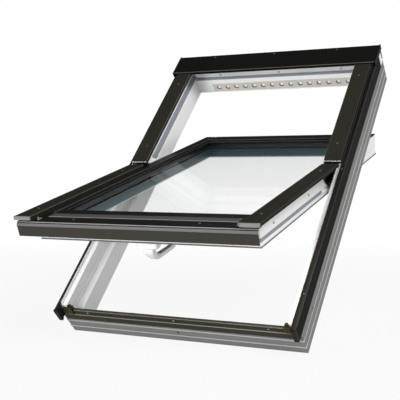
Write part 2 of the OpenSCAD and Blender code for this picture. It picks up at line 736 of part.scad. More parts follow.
// folded front: lip, sloping strip and a fascia that leans back to its drip edge
module fascia() color("#48463f") on_sash() bar_x(-fascia_x, fascia_x, [[fold_v, m_cap],
  [v_nose + 3, m_cap], [v_nose - 1, fascia_m], [fascia_v, fascia_m - strip_h],
  [fascia_v + 2, fascia_m - strip_h - 2], [fascia_v + fascia_lean, fascia_n],
  [fascia_v + fascia_lean + fascia_t, fascia_n], [fascia_v + 2 + fascia_t, fascia_m - strip_h - 2.6],
  [fascia_v + fascia_t, fascia_m - strip_h + 0.2], [v_nose - 1 + fascia_t, fascia_m - 1],
  [v_nose + 5, m_top], [fold_v, m_top]]);

module corner_clips() color("#c9cbcd") on_sash() both() union() {
  translate([cap_x + 4, fold_v + 8 - clip_l, m_cap]) cube([clip_w, clip_l, clip_t]);
  translate([cap_x + 4 + clip_w / 3, fold_v + 8 - clip_l, m_cap + clip_t / 2])
    cube([clip_w / 3, clip_l / 4, 7]);
}

// seals of the sash

module sash_seal() color("#a3a8b0") on_sash() union() {
  both() block([xs - lip, v_low, seal_m], [xs + 1.2, -r_out1 - 8, seal_m + seal_h]);
  block([-xs - 1.2, v_low - 1.2, seal_m], [xs + 1.2, v_low, seal_m + seal_h]);
  block([-stile_in, v_low, seal_m], [stile_in, v_low + lip, seal_m + seal_h]);
}

module sash_edge_seal() color("#5a5f63") on_sash() difference() {
  block([-xs - 1, v_low - 1, m_room], [xs + 1, v_top + 1, m_room + lip]);
  block([-xs + lip, v_low + lip, m_room - 1], [xs - lip, v_top - lip, m_room + lip + 1]);
}

// handle, lock rod and keeps

module handle_plate() color("#f4f4f4") on_sash() translate([0, hv, m_room - rosette_t]) difference() {
  union() {
    block([-rosette_l, -rosette_w + rosette_r, 0], [rosette_l, rosette_w - rosette_r, rosette_t]);
    block([-rosette_l + rosette_r, -rosette_w, 0], [rosette_l - rosette_r, rosette_w, rosette_t]);
    for (x = [-1, 1], y = [-1, 1]) translate([x * (rosette_l - rosette_r), y * (rosette_w - rosette_r), 0])
      cylinder(r = rosette_r, h = rosette_t);
  }
  translate([0, 0, -1]) cylinder(d = spindle_d + 2 * spindle_play, h = rosette_t + 2);
}

// side view of the lever: a sloping neck and a grip along the sash
function lever_pts() = [[-spindle_d * 0.8, -collar_h / 2], [-spindle_d * 0.8, -collar_h - 3],
  [13, grip_m - grip_t * 0.1], [26, grip_m - grip_t + 1.5], [36, grip_m - grip_t],
  [grip_l - 9, grip_m - grip_t + 2.5], [grip_l, grip_m - grip_t + 6], [grip_l, grip_m - 1],
  [grip_l - 2, grip_m], [44, grip_m], [37, grip_m - 1], [spindle_d, -collar_h - 2],
  [spindle_d * 0.8, -collar_h / 2]];

module handle() color("#f4f4f4") on_sash() translate([0, hv, collar_m]) rotate([0, 0, -handle_deg]) union() {
  translate([0, 0, -collar_h]) cylinder(d = collar_d, h = collar_h);
  translate([0, 0, -collar_h / 2]) cylinder(d = spindle_d, h = collar_h / 2 + rosette_t + spindle_play + 16);
  intersection() {
    bar_x(-grip_w / 2, grip_w / 2, lever_pts());
    union() {
      block([-grip_w, -grip_w, grip_m - 2 * grip_t], [grip_w, grip_l - grip_w / 2, 0]);
      translate([0, grip_l - grip_w / 2, grip_m - 2 * grip_t]) cylinder(d = grip_w, h = 3 * grip_t);
    }
  }
}

module lock_rod() color("#b4b6b8") on_sash() translate([rod_travel * handle_deg / 90, 0, 0]) union() {
  block([-rod_l / 2, v_low + groove_d - rod_t - 0.5, rod_m - rod_h / 2],
    [rod_l / 2, v_low + groove_d - 0.5, rod_m + rod_h / 2]);
  for (x = [-pin_x, pin_x]) translate([x, v_low + groove_d - rod_t, rod_m]) rotate([90, 0, 0])
    cylinder(d = pin_d, h = groove_d - rod_t + pin_out);
}

module lock_keeps() color("#b4b6b8") installed() for (x = [-pin_x, pin_x])
  translate([x + rod_travel, upstand_b, pivot_n + rod_m]) difference() {
    block([-pin_d, 0, -pin_d - 6], [pin_d, keep_t, pin_d]);
    block([-pin_d - 1, 2, -pin_d / 2 - 1], [pin_d + 1, keep_t + 1, pin_d / 2 + 1]);
  }

module frame_screws() color("#8c8c88") installed() union() {
  at_sill_screws() screw();
  at_hood_screws() screw();
  both() {
    at_jamb_screws() screw();
    at_cover_screws() screw();
  }
}

module head_screws() color("#8c8c88") installed() at_head_screws() screw();

module sash_screws() color("#8c8c88") on_sash() union() {
  at_cap_screws() screw();
  both() {
    at_sash_screws() screw();
    at_stile_screws() screw();
  }
}

frame_sill();
frame_head();
frame_jamb_left();
frame_jamb_right();
skirt_sill();
skirt_head();
skirt_left();
skirt_right();
jamb_cladding_left();
jamb_cladding_right();
cladding_plug_left();
cladding_plug_right();
sill_cladding();
corner_plugs();
frame_stop_left();
frame_stop_right();
upper_cover_left();
upper_cover_right();
hood();
hood_brackets();
hood_plate_left();
hood_plate_right();
cover_split_ends();
frame_seal();
vent_grille();
frame_hinge_left();
frame_hinge_right();
lock_keeps();
frame_screws();
head_screws();
sash_lower_rail();
sash_upper_rail();
sash_stile_left();
sash_stile_right();
pane_outer();
pane_inner();
spacer();
glazing_tape();
glazing_cap_left();
glazing_cap_right();
glazing_cap_upper();
glazing_cap_lower();
sash_stop_left();
sash_stop_right();
sash_cover_left();
sash_cover_right();
cover_end_left();
cover_end_right();
fascia();
corner_clips();
sash_seal();
sash_edge_seal();
sash_hinge_left();
sash_hinge_right();
handle_plate();
sash_screws();
handle();
lock_rod();
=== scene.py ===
import logging
import math
from dataclasses import dataclass, field
from enum import Enum
from typing import Any, Optional, Sequence, Union

import bpy
import numpy as np
from mathutils import Matrix, Vector


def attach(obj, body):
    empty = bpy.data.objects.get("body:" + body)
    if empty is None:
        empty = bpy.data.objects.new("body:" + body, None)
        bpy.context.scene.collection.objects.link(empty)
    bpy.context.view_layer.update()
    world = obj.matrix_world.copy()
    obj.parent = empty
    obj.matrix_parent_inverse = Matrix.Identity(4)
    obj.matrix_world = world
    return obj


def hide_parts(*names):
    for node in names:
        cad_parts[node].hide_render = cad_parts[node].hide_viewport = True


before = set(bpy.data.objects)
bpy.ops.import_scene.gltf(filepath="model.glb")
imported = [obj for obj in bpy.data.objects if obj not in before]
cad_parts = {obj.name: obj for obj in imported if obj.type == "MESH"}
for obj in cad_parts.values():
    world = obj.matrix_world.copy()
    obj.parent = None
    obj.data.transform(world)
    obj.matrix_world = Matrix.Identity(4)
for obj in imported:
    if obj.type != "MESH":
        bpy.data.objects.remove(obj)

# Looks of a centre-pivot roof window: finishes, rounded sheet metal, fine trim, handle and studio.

LOG = logging.getLogger("roof_window")
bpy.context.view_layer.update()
# Mesh attribute with the strength of the painted highlight along folds.
FOLD = "fold"
MM = 0.001
SIDES = (("left", -1.0), ("right", 1.0))
RGB = tuple[float, float, float]
Run = tuple[float, float]
Number = Union[float, "Wire"]
Sockets = dict[Any, Any]


def srgb(red: float, green: float, blue: float) -> RGB:
    """Turns a screen colour of 0 to 255 into the linear colour that shaders take.

    Args:
        red, green, blue: screen values from 0 to 255.

    Returns:
        The linear colour.
    """
    value = np.array([red, green, blue]) / 255.0
    linear = np.where(value <= 0.04045, value / 12.92, ((value + 0.055) / 1.055) ** 2.4)
    return tuple(float(c) for c in linear)


def toned(colour: RGB, factor: float) -> RGB:
    """Returns a colour made darker or lighter by a factor."""
    return tuple(c * factor for c in colour)


@dataclass(frozen=True)
class Placing:
    """Own axes of a body: across, along its slope, and outward from its face.

    A local point (a, b, c) in millimetres lies at origin + (a, b cos t - c sin t, b sin t + c cos t),
    where t is the tilt about the level axis.
    """

    tilt: float
    origin: tuple[float, float, float]

    def shared(self, points: np.ndarray) -> np.ndarray:
        """Moves local points into the shared frame.

        Args:
            points: array (..., 3) of local points in millimetres.

        Returns:
            Array of the same shape, in metres in the shared frame.
        """
        turn = math.radians(self.tilt)
        cos, sin = math.cos(turn), math.sin(turn)
        across, along, out = points[..., 0], points[..., 1], points[..., 2]
        spun = np.stack([across, along * cos - out * sin, along * sin + out * cos], axis=-1)
        return (spun + np.array(self.origin)) * MM

    def mapping(self) -> Sockets:
        """Works out how Object coordinates turn back into local metres.

        Returns:
            The sockets of a Mapping node.
        """
        turn = -math.radians(self.tilt)
        shift = Matrix.Rotation(turn, 3, "X") @ (Vector(self.origin) * -MM)
        return {"Location": tuple(shift), "Rotation": (turn, 0.0, 0.0)}


@dataclass(frozen=True)
class WindowSizes:
    """Leading sizes of the window, in millimetres and degrees, shared by all sub-assemblies.

    Values in n are levels over the room side of the frame, values in m are levels on the sash from the pivot
    line, and values in u and v run up the slope of the frame and of the sash.
    """

    half_w: float = 390.0
    pitch: float = 45.0
    opening: float = 31.7
    ref_n: float = 40.5
    pivot_u: float = 609.0
    pivot_n: float = 165.0
    sheet: float = 2.0
    gap: float = 0.2
    cover_out: float = 376.0
    cover_in: float = 319.5
    cover_n: float = 145.4
    clad_x: float = 378.5
    clad_n: float = 134.0
    core_n: float = 132.0
    ledge_n: float = 127.0
    m_cover: float = -19.6
    m_cap: float = -34.5
    m_top: float = -37.0
    m_glass: float = -48.0
    m_lip: float = -75.0
    m_room: float = -107.6
    sash_half: float = 343.6
    stile_in: float = 299.6
    v_tip: float = 548.0
    v_nose: float = -653.0
    v_fold: float = -628.0
    rail_low_in: float = -521.0
    rail_top_in: float = 477.0

    def frame_axes(self) -> Placing:
        """Returns the axes of the fixed frame."""
        turn = math.radians(self.pitch)
        return Placing(self.pitch, (0.0, self.ref_n * math.sin(turn), -self.ref_n * math.cos(turn)))

    def sash_axes(self) -> Placing:
        """Returns the axes of the sash, which start at the pivot line."""
        pivot = self.frame_axes().shared(np.array([0.0, self.pivot_u, self.pivot_n])) / MM
        return Placing(self.pitch - self.opening, tuple(float(c) for c in pivot))


SIZES = WindowSizes()


class Axes(Enum):
    """Whose axes a pattern or a mesh follows."""

    FRAME = SIZES.frame_axes()
    SASH = SIZES.sash_axes()


class Body(Enum):
    """The bodies that new pieces ride on."""

    FRAME = "frame"
    SASH = "sash"
    HANDLE = "handle"


class Along(Enum):
    """Local axis that a bar or a grain follows."""

    ACROSS = 0
    SLOPE = 1


class Wire:
    """A shader value whose Python arithmetic adds Math nodes."""

    def __init__(self, graph: "Graph", socket: bpy.types.NodeSocket) -> None:
        """Keeps the graph and the output socket."""
        self.graph = graph
        self.socket = socket

    def _math(self, operation: str, *values: Number) -> "Wire":
        """Adds one Math node with these inputs and returns its value."""
        made = self.graph.node("ShaderNodeMath", {"operation": operation}, dict(enumerate(values)))
        return Wire(self.graph, made.outputs[0])

    def __add__(self, other: Number) -> "Wire":
        """Sum."""
        return self._math("ADD", self, other)

    __radd__ = __add__

    def __sub__(self, other: Number) -> "Wire":
        """Difference."""
        return self._math("SUBTRACT", self, other)

    def __rsub__(self, other: Number) -> "Wire":
        """Difference from a number."""
        return self._math("SUBTRACT", other, self)

    def __mul__(self, other: Number) -> "Wire":
        """Product."""
        return self._math("MULTIPLY", self, other)

    __rmul__ = __mul__

    def __abs__(self) -> "Wire":
        """Absolute value."""
        return self._math("ABSOLUTE", self)

    def __gt__(self, other: Number) -> "Wire":
        """1 where this value is the larger one."""
        return self._math("GREATER_THAN", self, other)

    def __lt__(self, other: Number) -> "Wire":
        """1 where this value is the smaller one."""
        return self._math("LESS_THAN", self, other)

    def band(self, low: float, high: float) -> "Wire":
        """Returns 1 between two limits and 0 outside."""
        return (self > low) * (self < high)

    def snap(self, step: float) -> "Wire":
        """Returns the nearest multiple of a step."""
        return self._math("ROUND", self * (1.0 / step)) * step

    def root(self) -> "Wire":
        """Returns the square root."""
        return self._math("SQRT", self)

    def about(self, middle: float, spread: float) -> "Wire":
        """Returns a value of 0 to 1 moved about a middle, with the given spread from end to end."""
        return middle + (self - 0.5) * spread

    def ease(self, low: float, high: float) -> "Wire":
        """Returns a smooth step from 0 at low to 1 at high."""
        limits = {"Value": self, "From Min": low, "From Max": high}
        made = self.graph.node("ShaderNodeMapRange", {"interpolation_type": "SMOOTHSTEP"}, limits)
        return Wire(self.graph, made.outputs["Result"])


class Graph:
    """Node tree of a material or of the world, and the one place where nodes are made."""

    def __init__(self, owner: Union[bpy.types.Material, bpy.types.World]) -> None:
        """Starts an empty tree.

        Args:
            owner: the material or world that the tree belongs to.
        """
        owner.use_nodes = True
        self.owner = owner
        self.tree = owner.node_tree
        self.tree.nodes.clear()

    @classmethod
    def material(cls, name: str) -> "Graph":
        """Returns the empty tree of a new material."""
        return cls(bpy.data.materials.new(name))

    def node(
        self, kind: str, settings: Optional[Sockets] = None, sockets: Optional[Sockets] = None
    ) -> bpy.types.Node:
        """Adds a node of any kind.

        Args:
            kind: the node's type.
            settings: properties, set before the sockets.
            sockets: values or links by socket name or number.

        Returns:
            The node.
        """
        made = self.tree.nodes.new(kind)
        for key, value in (settings or {}).items():
            setattr(made, key, value)
        for key, value in (sockets or {}).items():
            if isinstance(value, Wire):
                self.tree.links.new(value.socket, made.inputs[key])
            elif isinstance(value, tuple) and made.inputs[key].type == "RGBA":
                made.inputs[key].default_value = (*value[:3], 1.0)
            else:
                made.inputs[key].default_value = value
        return made

    def coordinate(self, kind: str) -> Wire:
        """Returns one of the coordinates that the shaded point has."""
        return Wire(self, self.node("ShaderNodeTexCoord").outputs[kind])

    def _mapped(self, vector: Wire, sockets: Sockets) -> Wire:
        """Returns a vector that a Mapping node has moved, turned or scaled."""
        made = self.node("ShaderNodeMapping", {"vector_type": "POINT"}, {"Vector": vector, **sockets})
        return Wire(self, made.outputs["Vector"])

    def local(self, axes: Optional[Axes] = None) -> Wire:
        """Returns the position in metres, in a body's own axes where they are named."""
        place = self.coordinate("Object")
        return self._mapped(place, axes.value.mapping()) if axes else place

    def attribute(self, name: str) -> Wire:
        """Returns a number that the mesh carries at its points."""
        return Wire(self, self.node("ShaderNodeAttribute", {"attribute_name": name}).outputs["Fac"])

    def split(self, vector: Wire) -> tuple[Wire, Wire, Wire]:
        """Returns the three parts of a vector."""
        made = self.node("ShaderNodeSeparateXYZ", sockets={"Vector": vector})
        return tuple(Wire(self, made.outputs[k]) for k in range(3))

    def noise(self, vector: Wire, scale: float, detail: float = 2.0, rough: float = 0.5) -> Wire:
        """Returns cloudy noise from 0 to 1; detail counts its octaves, and rough weighs the fine ones."""
        sockets = {"Vector": vector, "Scale": scale, "Detail": detail, "Roughness": rough}
        return Wire(self, self.node("ShaderNodeTexNoise", {"noise_dimensions": "3D"}, sockets).outputs[0])

    def streaks(self, vector: Wire, scale: tuple[float, float, float], detail: float = 2.0) -> Wire:
        """Returns noise with its own scale on each axis, so that a low one draws it out into streaks."""
        return self.noise(self._mapped(vector, {"Scale": scale}), 1.0, detail)

    def mix(self, factor: Number, first: Any, second: Any) -> Wire:
        """Returns a blend of two colours or links: the first at a factor of 0, the second at 1."""
        made = self.node("ShaderNodeMix", {"data_type": "RGBA"}, {0: factor, 6: first, 7: second})
        return Wire(self, made.outputs[2])

    def tone(self, factor: Number, colour: RGB, low: float, high: float = 1.0) -> Wire:
        """Returns a colour that goes from low to high times itself as the factor goes from 0 to 1."""
        return self.mix(factor, toned(colour, low), toned(colour, high))

    def bump(self, height: Wire, depth: float, strength: float) -> Wire:
        """Returns a normal that follows a height of 0 to 1, with the depth in metres that stands for 1."""
        sockets = {"Height": height, "Distance": depth, "Strength": strength}
        return Wire(self, self.node("ShaderNodeBump", sockets=sockets).outputs["Normal"])

    def join(self, first: bpy.types.Node, second: bpy.types.Node, socket: Union[int, str]) -> None:
        """Links the first output of one node to an input of the next."""
        self.tree.links.new(first.outputs[0], second.inputs[socket])


@dataclass(frozen=True)
class Finish:
    """A finish that paints the inputs of one Principled shader."""

    def material(self, name: str, axes: Optional[Axes] = None) -> bpy.types.Material:
        """Builds the material.

        Args:
            name: the material's name.
            axes: whose axes the pattern follows, or none for the shared frame.

        Returns:
            The material.
        """
        graph = Graph.material(name)
        shader = graph.node("ShaderNodeBsdfPrincipled", sockets=self.inputs(graph, graph.local(axes)))
        graph.join(shader, graph.node("ShaderNodeOutputMaterial"), "Surface")
        return graph.owner

    def inputs(self, graph: Graph, place: Wire) -> Sockets:
        """Returns the inputs by name, painted at a place in metres; each kind of finish has its own."""
        raise NotImplementedError


@dataclass(frozen=True)
class CoatedSheet(Finish):
    """Folded sheet metal with a baked coating and a painted highlight along its folds."""

    colour: RGB
    # Colour of the painted highlight along the folds.
    worn: RGB = srgb(150, 147, 140)
    roughness: float = 0.42
    streak: float = 0.16
    peel: float = 0.00012
    gloss: float = 0.01
    grain: Along = Along.SLOPE

    def inputs(self, graph: Graph, place: Wire) -> Sockets:
        """Paints soft mottling, streaks along the grain, orange peel and a painted highlight along the
        folds.

        Args:
            graph: the material's tree.
            place: where the pattern is read.

        Returns:
            The shader's inputs.
        """
        scale = (2.2, 160.0, 160.0) if self.grain is Along.ACROSS else (160.0, 2.2, 160.0)
        drawn = graph.streaks(place, scale)
        mottle = graph.noise(place, 7.0, 3.0) * 0.6 + drawn * 0.4
        colour = graph.tone(mottle, self.colour, 1.0 - self.streak, 1.0 + self.streak)
        # Painted highlight along the folds, of uneven strength.
        fold_highlight = graph.attribute(FOLD) * (0.75 + graph.noise(place, 60.0) * 0.5)
        return {
            "Base Color": graph.mix(fold_highlight, self._with_painted_light(graph, place, colour), self.worn),
            "Roughness": drawn.about(self.roughness, 0.16),
            "Normal": graph.bump(graph.noise(place, 900.0, 1.0), self.peel, 0.35),
            "Specular IOR Level": self.gloss,
        }

    def _with_painted_light(self, graph: Graph, place: Wire, colour: Wire) -> Wire:
        """Returns the colour as it is; a sheet with painted light and shade changes it here."""
        return colour


@dataclass(frozen=True)
class JambCoatingPaintedLight(CoatedSheet):
    """Jamb cladding coating: a painted reflection pales the front; painted shade darkens the upper end."""

    # Painted shade: the sides darken to this colour towards the upper end.
    upper: RGB = srgb(10, 9, 8)
    # Painted reflection: the narrow front is paler, most of all at its lower end.
    front: RGB = srgb(50, 47, 42)
    front_reflection_upper: RGB = srgb(23, 22, 20)
    # Run along the slope, in millimetres, over which the painted shade comes on.
    shade_climb: Run = (100.0, 800.0)
    front_x: float = SIZES.half_w + 1.0
    front_n: float = SIZES.clad_n - 0.6

    def _with_painted_light(self, graph: Graph, place: Wire, colour: Wire) -> Wire:
        """Paints light and shade: a paler front as painted reflection, and painted shade towards the upper
        end.

        Args:
            graph: the material's tree.
            place: the position in the frame's axes.
            colour: the streaked colour of the side.

        Returns:
            The colour.
        """
        across, along, out = graph.split(place)
        shade_climb = along.ease(*(u * MM for u in self.shade_climb))
        front_reflection_mask = (abs(across) < self.front_x * MM) * (out > self.front_n * MM)
        # Painted shade on the sides, and a painted reflection on the front that fades towards the upper end.
        side = graph.mix(shade_climb, colour, self.upper)
        return graph.mix(front_reflection_mask, side, graph.mix(shade_climb, self.front, self.front_reflection_upper))


@dataclass(frozen=True)
class FrontZone:
    """Band of the folded front between two levels of the sash, with its colour, which on the fold is a
    painted highlight and in the groove a painted shadow.
    """

    low: float
    high: float
    colour: RGB


@dataclass(frozen=True)
class FoldedFront(Finish):
    """Coated sash front: dark lip, fold with painted highlight, groove with painted shadow, light sloping
    strip, brown-grey face.
    """

    face: RGB
    zones: tuple[FrontZone, ...]

    def inputs(self, graph: Graph, place: Wire) -> Sockets:
        """Paints the zones over the face, all with the same mottling.

        Args:
            graph: the material's tree.
            place: the position in the sash's axes.

        Returns:
            The shader's inputs.
        """
        _, _, out = graph.split(place)
        drawn = graph.streaks(place, (2.0, 140.0, 140.0))
        mottle = graph.noise(place, 6.0, 3.0) * 0.5 + drawn * 0.5
        colour = graph.tone(mottle, self.face, 0.82, 1.18)
        for zone in self.zones:
            tone = graph.tone(mottle, zone.colour, 0.93, 1.07)
            colour = graph.mix(out.band(zone.low * MM, zone.high * MM), colour, tone)
        return {
            "Base Color": colour,
            "Roughness": drawn.about(0.4, 0.2),
            "Normal": graph.bump(graph.noise(place, 800.0, 1.0), 0.0001, 0.3),
            "Specular IOR Level": 0.06,
        }


@dataclass(frozen=True)
class TippedPlate(Finish):
    """Dark notched plate whose outer edge, above a level, is bare and light."""

    dark: RGB
    light: RGB
    level: float = 142.6

    def inputs(self, graph: Graph, place: Wire) -> Sockets:
        """Paints the dark plate and its grainy light edge.

        Args:
            graph: the material's tree.
            place: the position in the frame's axes.

        Returns:
            The shader's inputs.
        """
        _, _, out = graph.split(place)
        grain = graph.noise(place, 300.0)
        tone = graph.tone(grain, self.light, 0.8)
        return {
            "Base Color": graph.mix(out > self.level * MM, self.dark, tone),
            "Roughness": 0.4 + grain * 0.2,
            "Normal": graph.bump(grain, 0.00005, 0.4),
            "Specular IOR Level": 0.1,
        }


@dataclass(frozen=True)
class WhitePlastic(Finish):
    """Extruded white plastic, with painted shade on the faces of the glass opening where a shade colour is
    given.
    """

    colour: RGB = srgb(242, 243, 242)
    roughness: float = 0.34
    # Painted shade in dark teal on the faces of the glass opening.
    reveal_shade: Optional[RGB] = None
    reveal_edge: float = 0.6
    reveal_m: Run = (SIZES.m_room + 4.5, SIZES.m_lip + 1.0)

    def inputs(self, graph: Graph, place: Wire) -> Sockets:
        """Paints faint die lines along the bar and a soft bloom of tone.

        Args:
            graph: the material's tree.
            place: where the pattern is read.

        Returns:
            The shader's inputs.
        """
        lines = graph.streaks(place, (420.0, 1.2, 420.0))
        colour = graph.tone(graph.noise(place, 5.0), self.colour, 0.965)
        # Painted shade on the faces of the glass opening.
        if self.reveal_shade is not None:
            colour = self._with_reveal_shade(graph, place, colour, self.reveal_shade)
        return {
            "Base Color": colour,
            "Roughness": lines.about(self.roughness, 0.12),
            "Normal": graph.bump(lines, 0.00006, 0.5),
            "Coat Weight": 0.08,
            "Coat Roughness": 0.2,
        }

    def _with_reveal_shade(self, graph: Graph, place: Wire, colour: Wire, reveal_shade: RGB) -> Wire:
        """Paints shade on the faces of the glass opening, between the room face and the glass.

        Args:
            graph: the material's tree.
            place: the position in the sash's axes.
            colour: the colour of all other faces.
            reveal_shade: the painted shade on the opening, which halves towards the glass.

        Returns:
            The colour.
        """
        across, along, out = graph.split(place)
        edge = self.reveal_edge
        side = abs(across) < (SIZES.stile_in + edge) * MM
        ends = along.band((SIZES.rail_low_in - edge) * MM, (SIZES.rail_top_in + edge) * MM)
        depth = out.band(*(m * MM for m in self.reveal_m))
        shade = graph.tone(out.ease(SIZES.m_room * MM, SIZES.m_lip * MM), reveal_shade, 1.0, 0.5)
        return graph.mix(side * ends * depth, colour, shade)


@dataclass(frozen=True)
class GreyBoard(Finish):
    """Ribbed skirt board: mid grey, lighter on its two ribs."""

    colour: RGB = srgb(120, 120, 119)
    rib: RGB = srgb(182, 182, 180)
    rib_levels: Run = (26.0, 55.0)
    rib_half: float = 1.7

    def inputs(self, graph: Graph, place: Wire) -> Sockets:
        """Paints fine sawn lines, speckle and the light ribs.

        Args:
            graph: the material's tree.
            place: the position in the frame's axes.

        Returns:
            The shader's inputs.
        """
        _, _, out = graph.split(place)
        lines = graph.streaks(place, (3.0, 3.0, 520.0), 3.0)
        speckle = graph.noise(place, 420.0)
        half = self.rib_half
        low, high = (out.band((n - half) * MM, (n + half) * MM) for n in self.rib_levels)
        tone = graph.tone(lines * 0.7 + speckle * 0.3, self.colour, 0.8)
        return {
            "Base Color": graph.mix(low + high, tone, self.rib),
            "Roughness": speckle.about(0.55, 0.2),
            "Normal": graph.bump(lines * 0.6 + speckle * 0.4, 0.00015, 0.5),
        }


@dataclass(frozen=True)
class MouldedPlastic(Finish):
    """Moulded plastic."""

    colour: RGB
    roughness: float = 0.5
    grain: float = 0.0001
    coat: float = 0.0
    gloss: float = 0.4

    def inputs(self, graph: Graph, place: Wire) -> Sockets:
        """Paints a fine spark-eroded grain and a soft bloom.

        Args:
            graph: the material's tree.
            place: where the pattern is read.

        Returns:
            The shader's inputs.
        """
        grain = graph.noise(place, 1400.0)
        return {
            "Base Color": graph.tone(graph.noise(place, 12.0), self.colour, 0.88),
            "Roughness": grain.about(self.roughness, 0.14),
            "Normal": graph.bump(grain, self.grain, 0.4),
            "Coat Weight": self.coat,
            "Coat Roughness": 0.12,
            "Specular IOR Level": self.gloss,
        }


@dataclass(frozen=True)
class PaintedLightFlap(Finish):
    """Flap behind the vent grille: painted shade, with a spot of painted light behind each hole."""

    # Painted light that falls through each hole, and painted shade round it.
    lit_spot: RGB
    shade: RGB
    pitch: float = 37.0
    level: float = 24.0
    lit_spot_r: float = 5.4
    rim_r: float = 7.29

    def inputs(self, graph: Graph, place: Wire) -> Sockets:
        """Paints the spots of painted light, which repeat along the vent.

        The distance to the nearest spot is the length of (x - pitch round(x / pitch), n - level), and the
        tone goes from the painted light to the painted shade between the spot's radius and its rim's.

        Args:
            graph: the material's tree.
            place: the position in the frame's axes.

        Returns:
            The shader's inputs.
        """
        across, _, out = graph.split(place)
        aside = across - across.snap(self.pitch * MM)
        lift = out - self.level * MM
        reach = (aside * aside + lift * lift).root()
        grain = graph.noise(place, 900.0)
        return {
            "Base Color": graph.mix(reach.ease(self.lit_spot_r * MM, self.rim_r * MM), self.lit_spot, self.shade),
            "Roughness": 0.45 + grain * 0.1,
            "Normal": graph.bump(grain, 0.00005, 0.4),
        }


@dataclass(frozen=True)
class Rubber(Finish):
    """Matte seal rubber."""

    colour: RGB

    def inputs(self, graph: Graph, place: Wire) -> Sockets:
        """Paints a dusty bloom and a fine grain.

        Args:
            graph: the material's tree.
            place: where the pattern is read.

        Returns:
            The shader's inputs.
        """
        dust = graph.noise(place, 60.0, 4.0, 0.6)
        return {
            "Base Color": graph.tone(dust, self.colour, 0.82, 1.08),
            "Roughness": 0.62 + dust * 0.2,
            "Normal": graph.bump(graph.noise(place, 700.0), 0.0001, 0.4),
        }


@dataclass(frozen=True)
class BareMetal(Finish):
    """Plated steel."""

    colour: RGB
    roughness: float = 0.32

    def inputs(self, graph: Graph, place: Wire) -> Sockets:
        """Paints cloudy plating with a rolled sheen.

        Args:
            graph: the material's tree.
            place: where the pattern is read.

        Returns:
            The shader's inputs.
        """
        fine = graph.streaks(place, (60.0, 1500.0, 1500.0))
        return {
            "Base Color": graph.tone(graph.noise(place, 90.0, 3.0), self.colour, 0.78),
            "Metallic": 0.85,
            "Roughness": fine.about(self.roughness, 0.2),
            "Normal": graph.bump(fine, 0.00004, 0.5),
        }


@dataclass(frozen=True)
class ClearGlass(Finish):
    """Float glass with a slight green tint."""

    tint: RGB = (0.992, 0.997, 0.996)
    index: float = 1.045

    def inputs(self, graph: Graph, place: Wire) -> Sockets:
        """Returns clear glass with a trace of uneven haze."""
        haze = graph.noise(place, 9.0, 3.0) * 0.012
        return {"Base Color": self.tint, "Roughness": haze, "IOR": self.index, "Transmission Weight": 1.0}


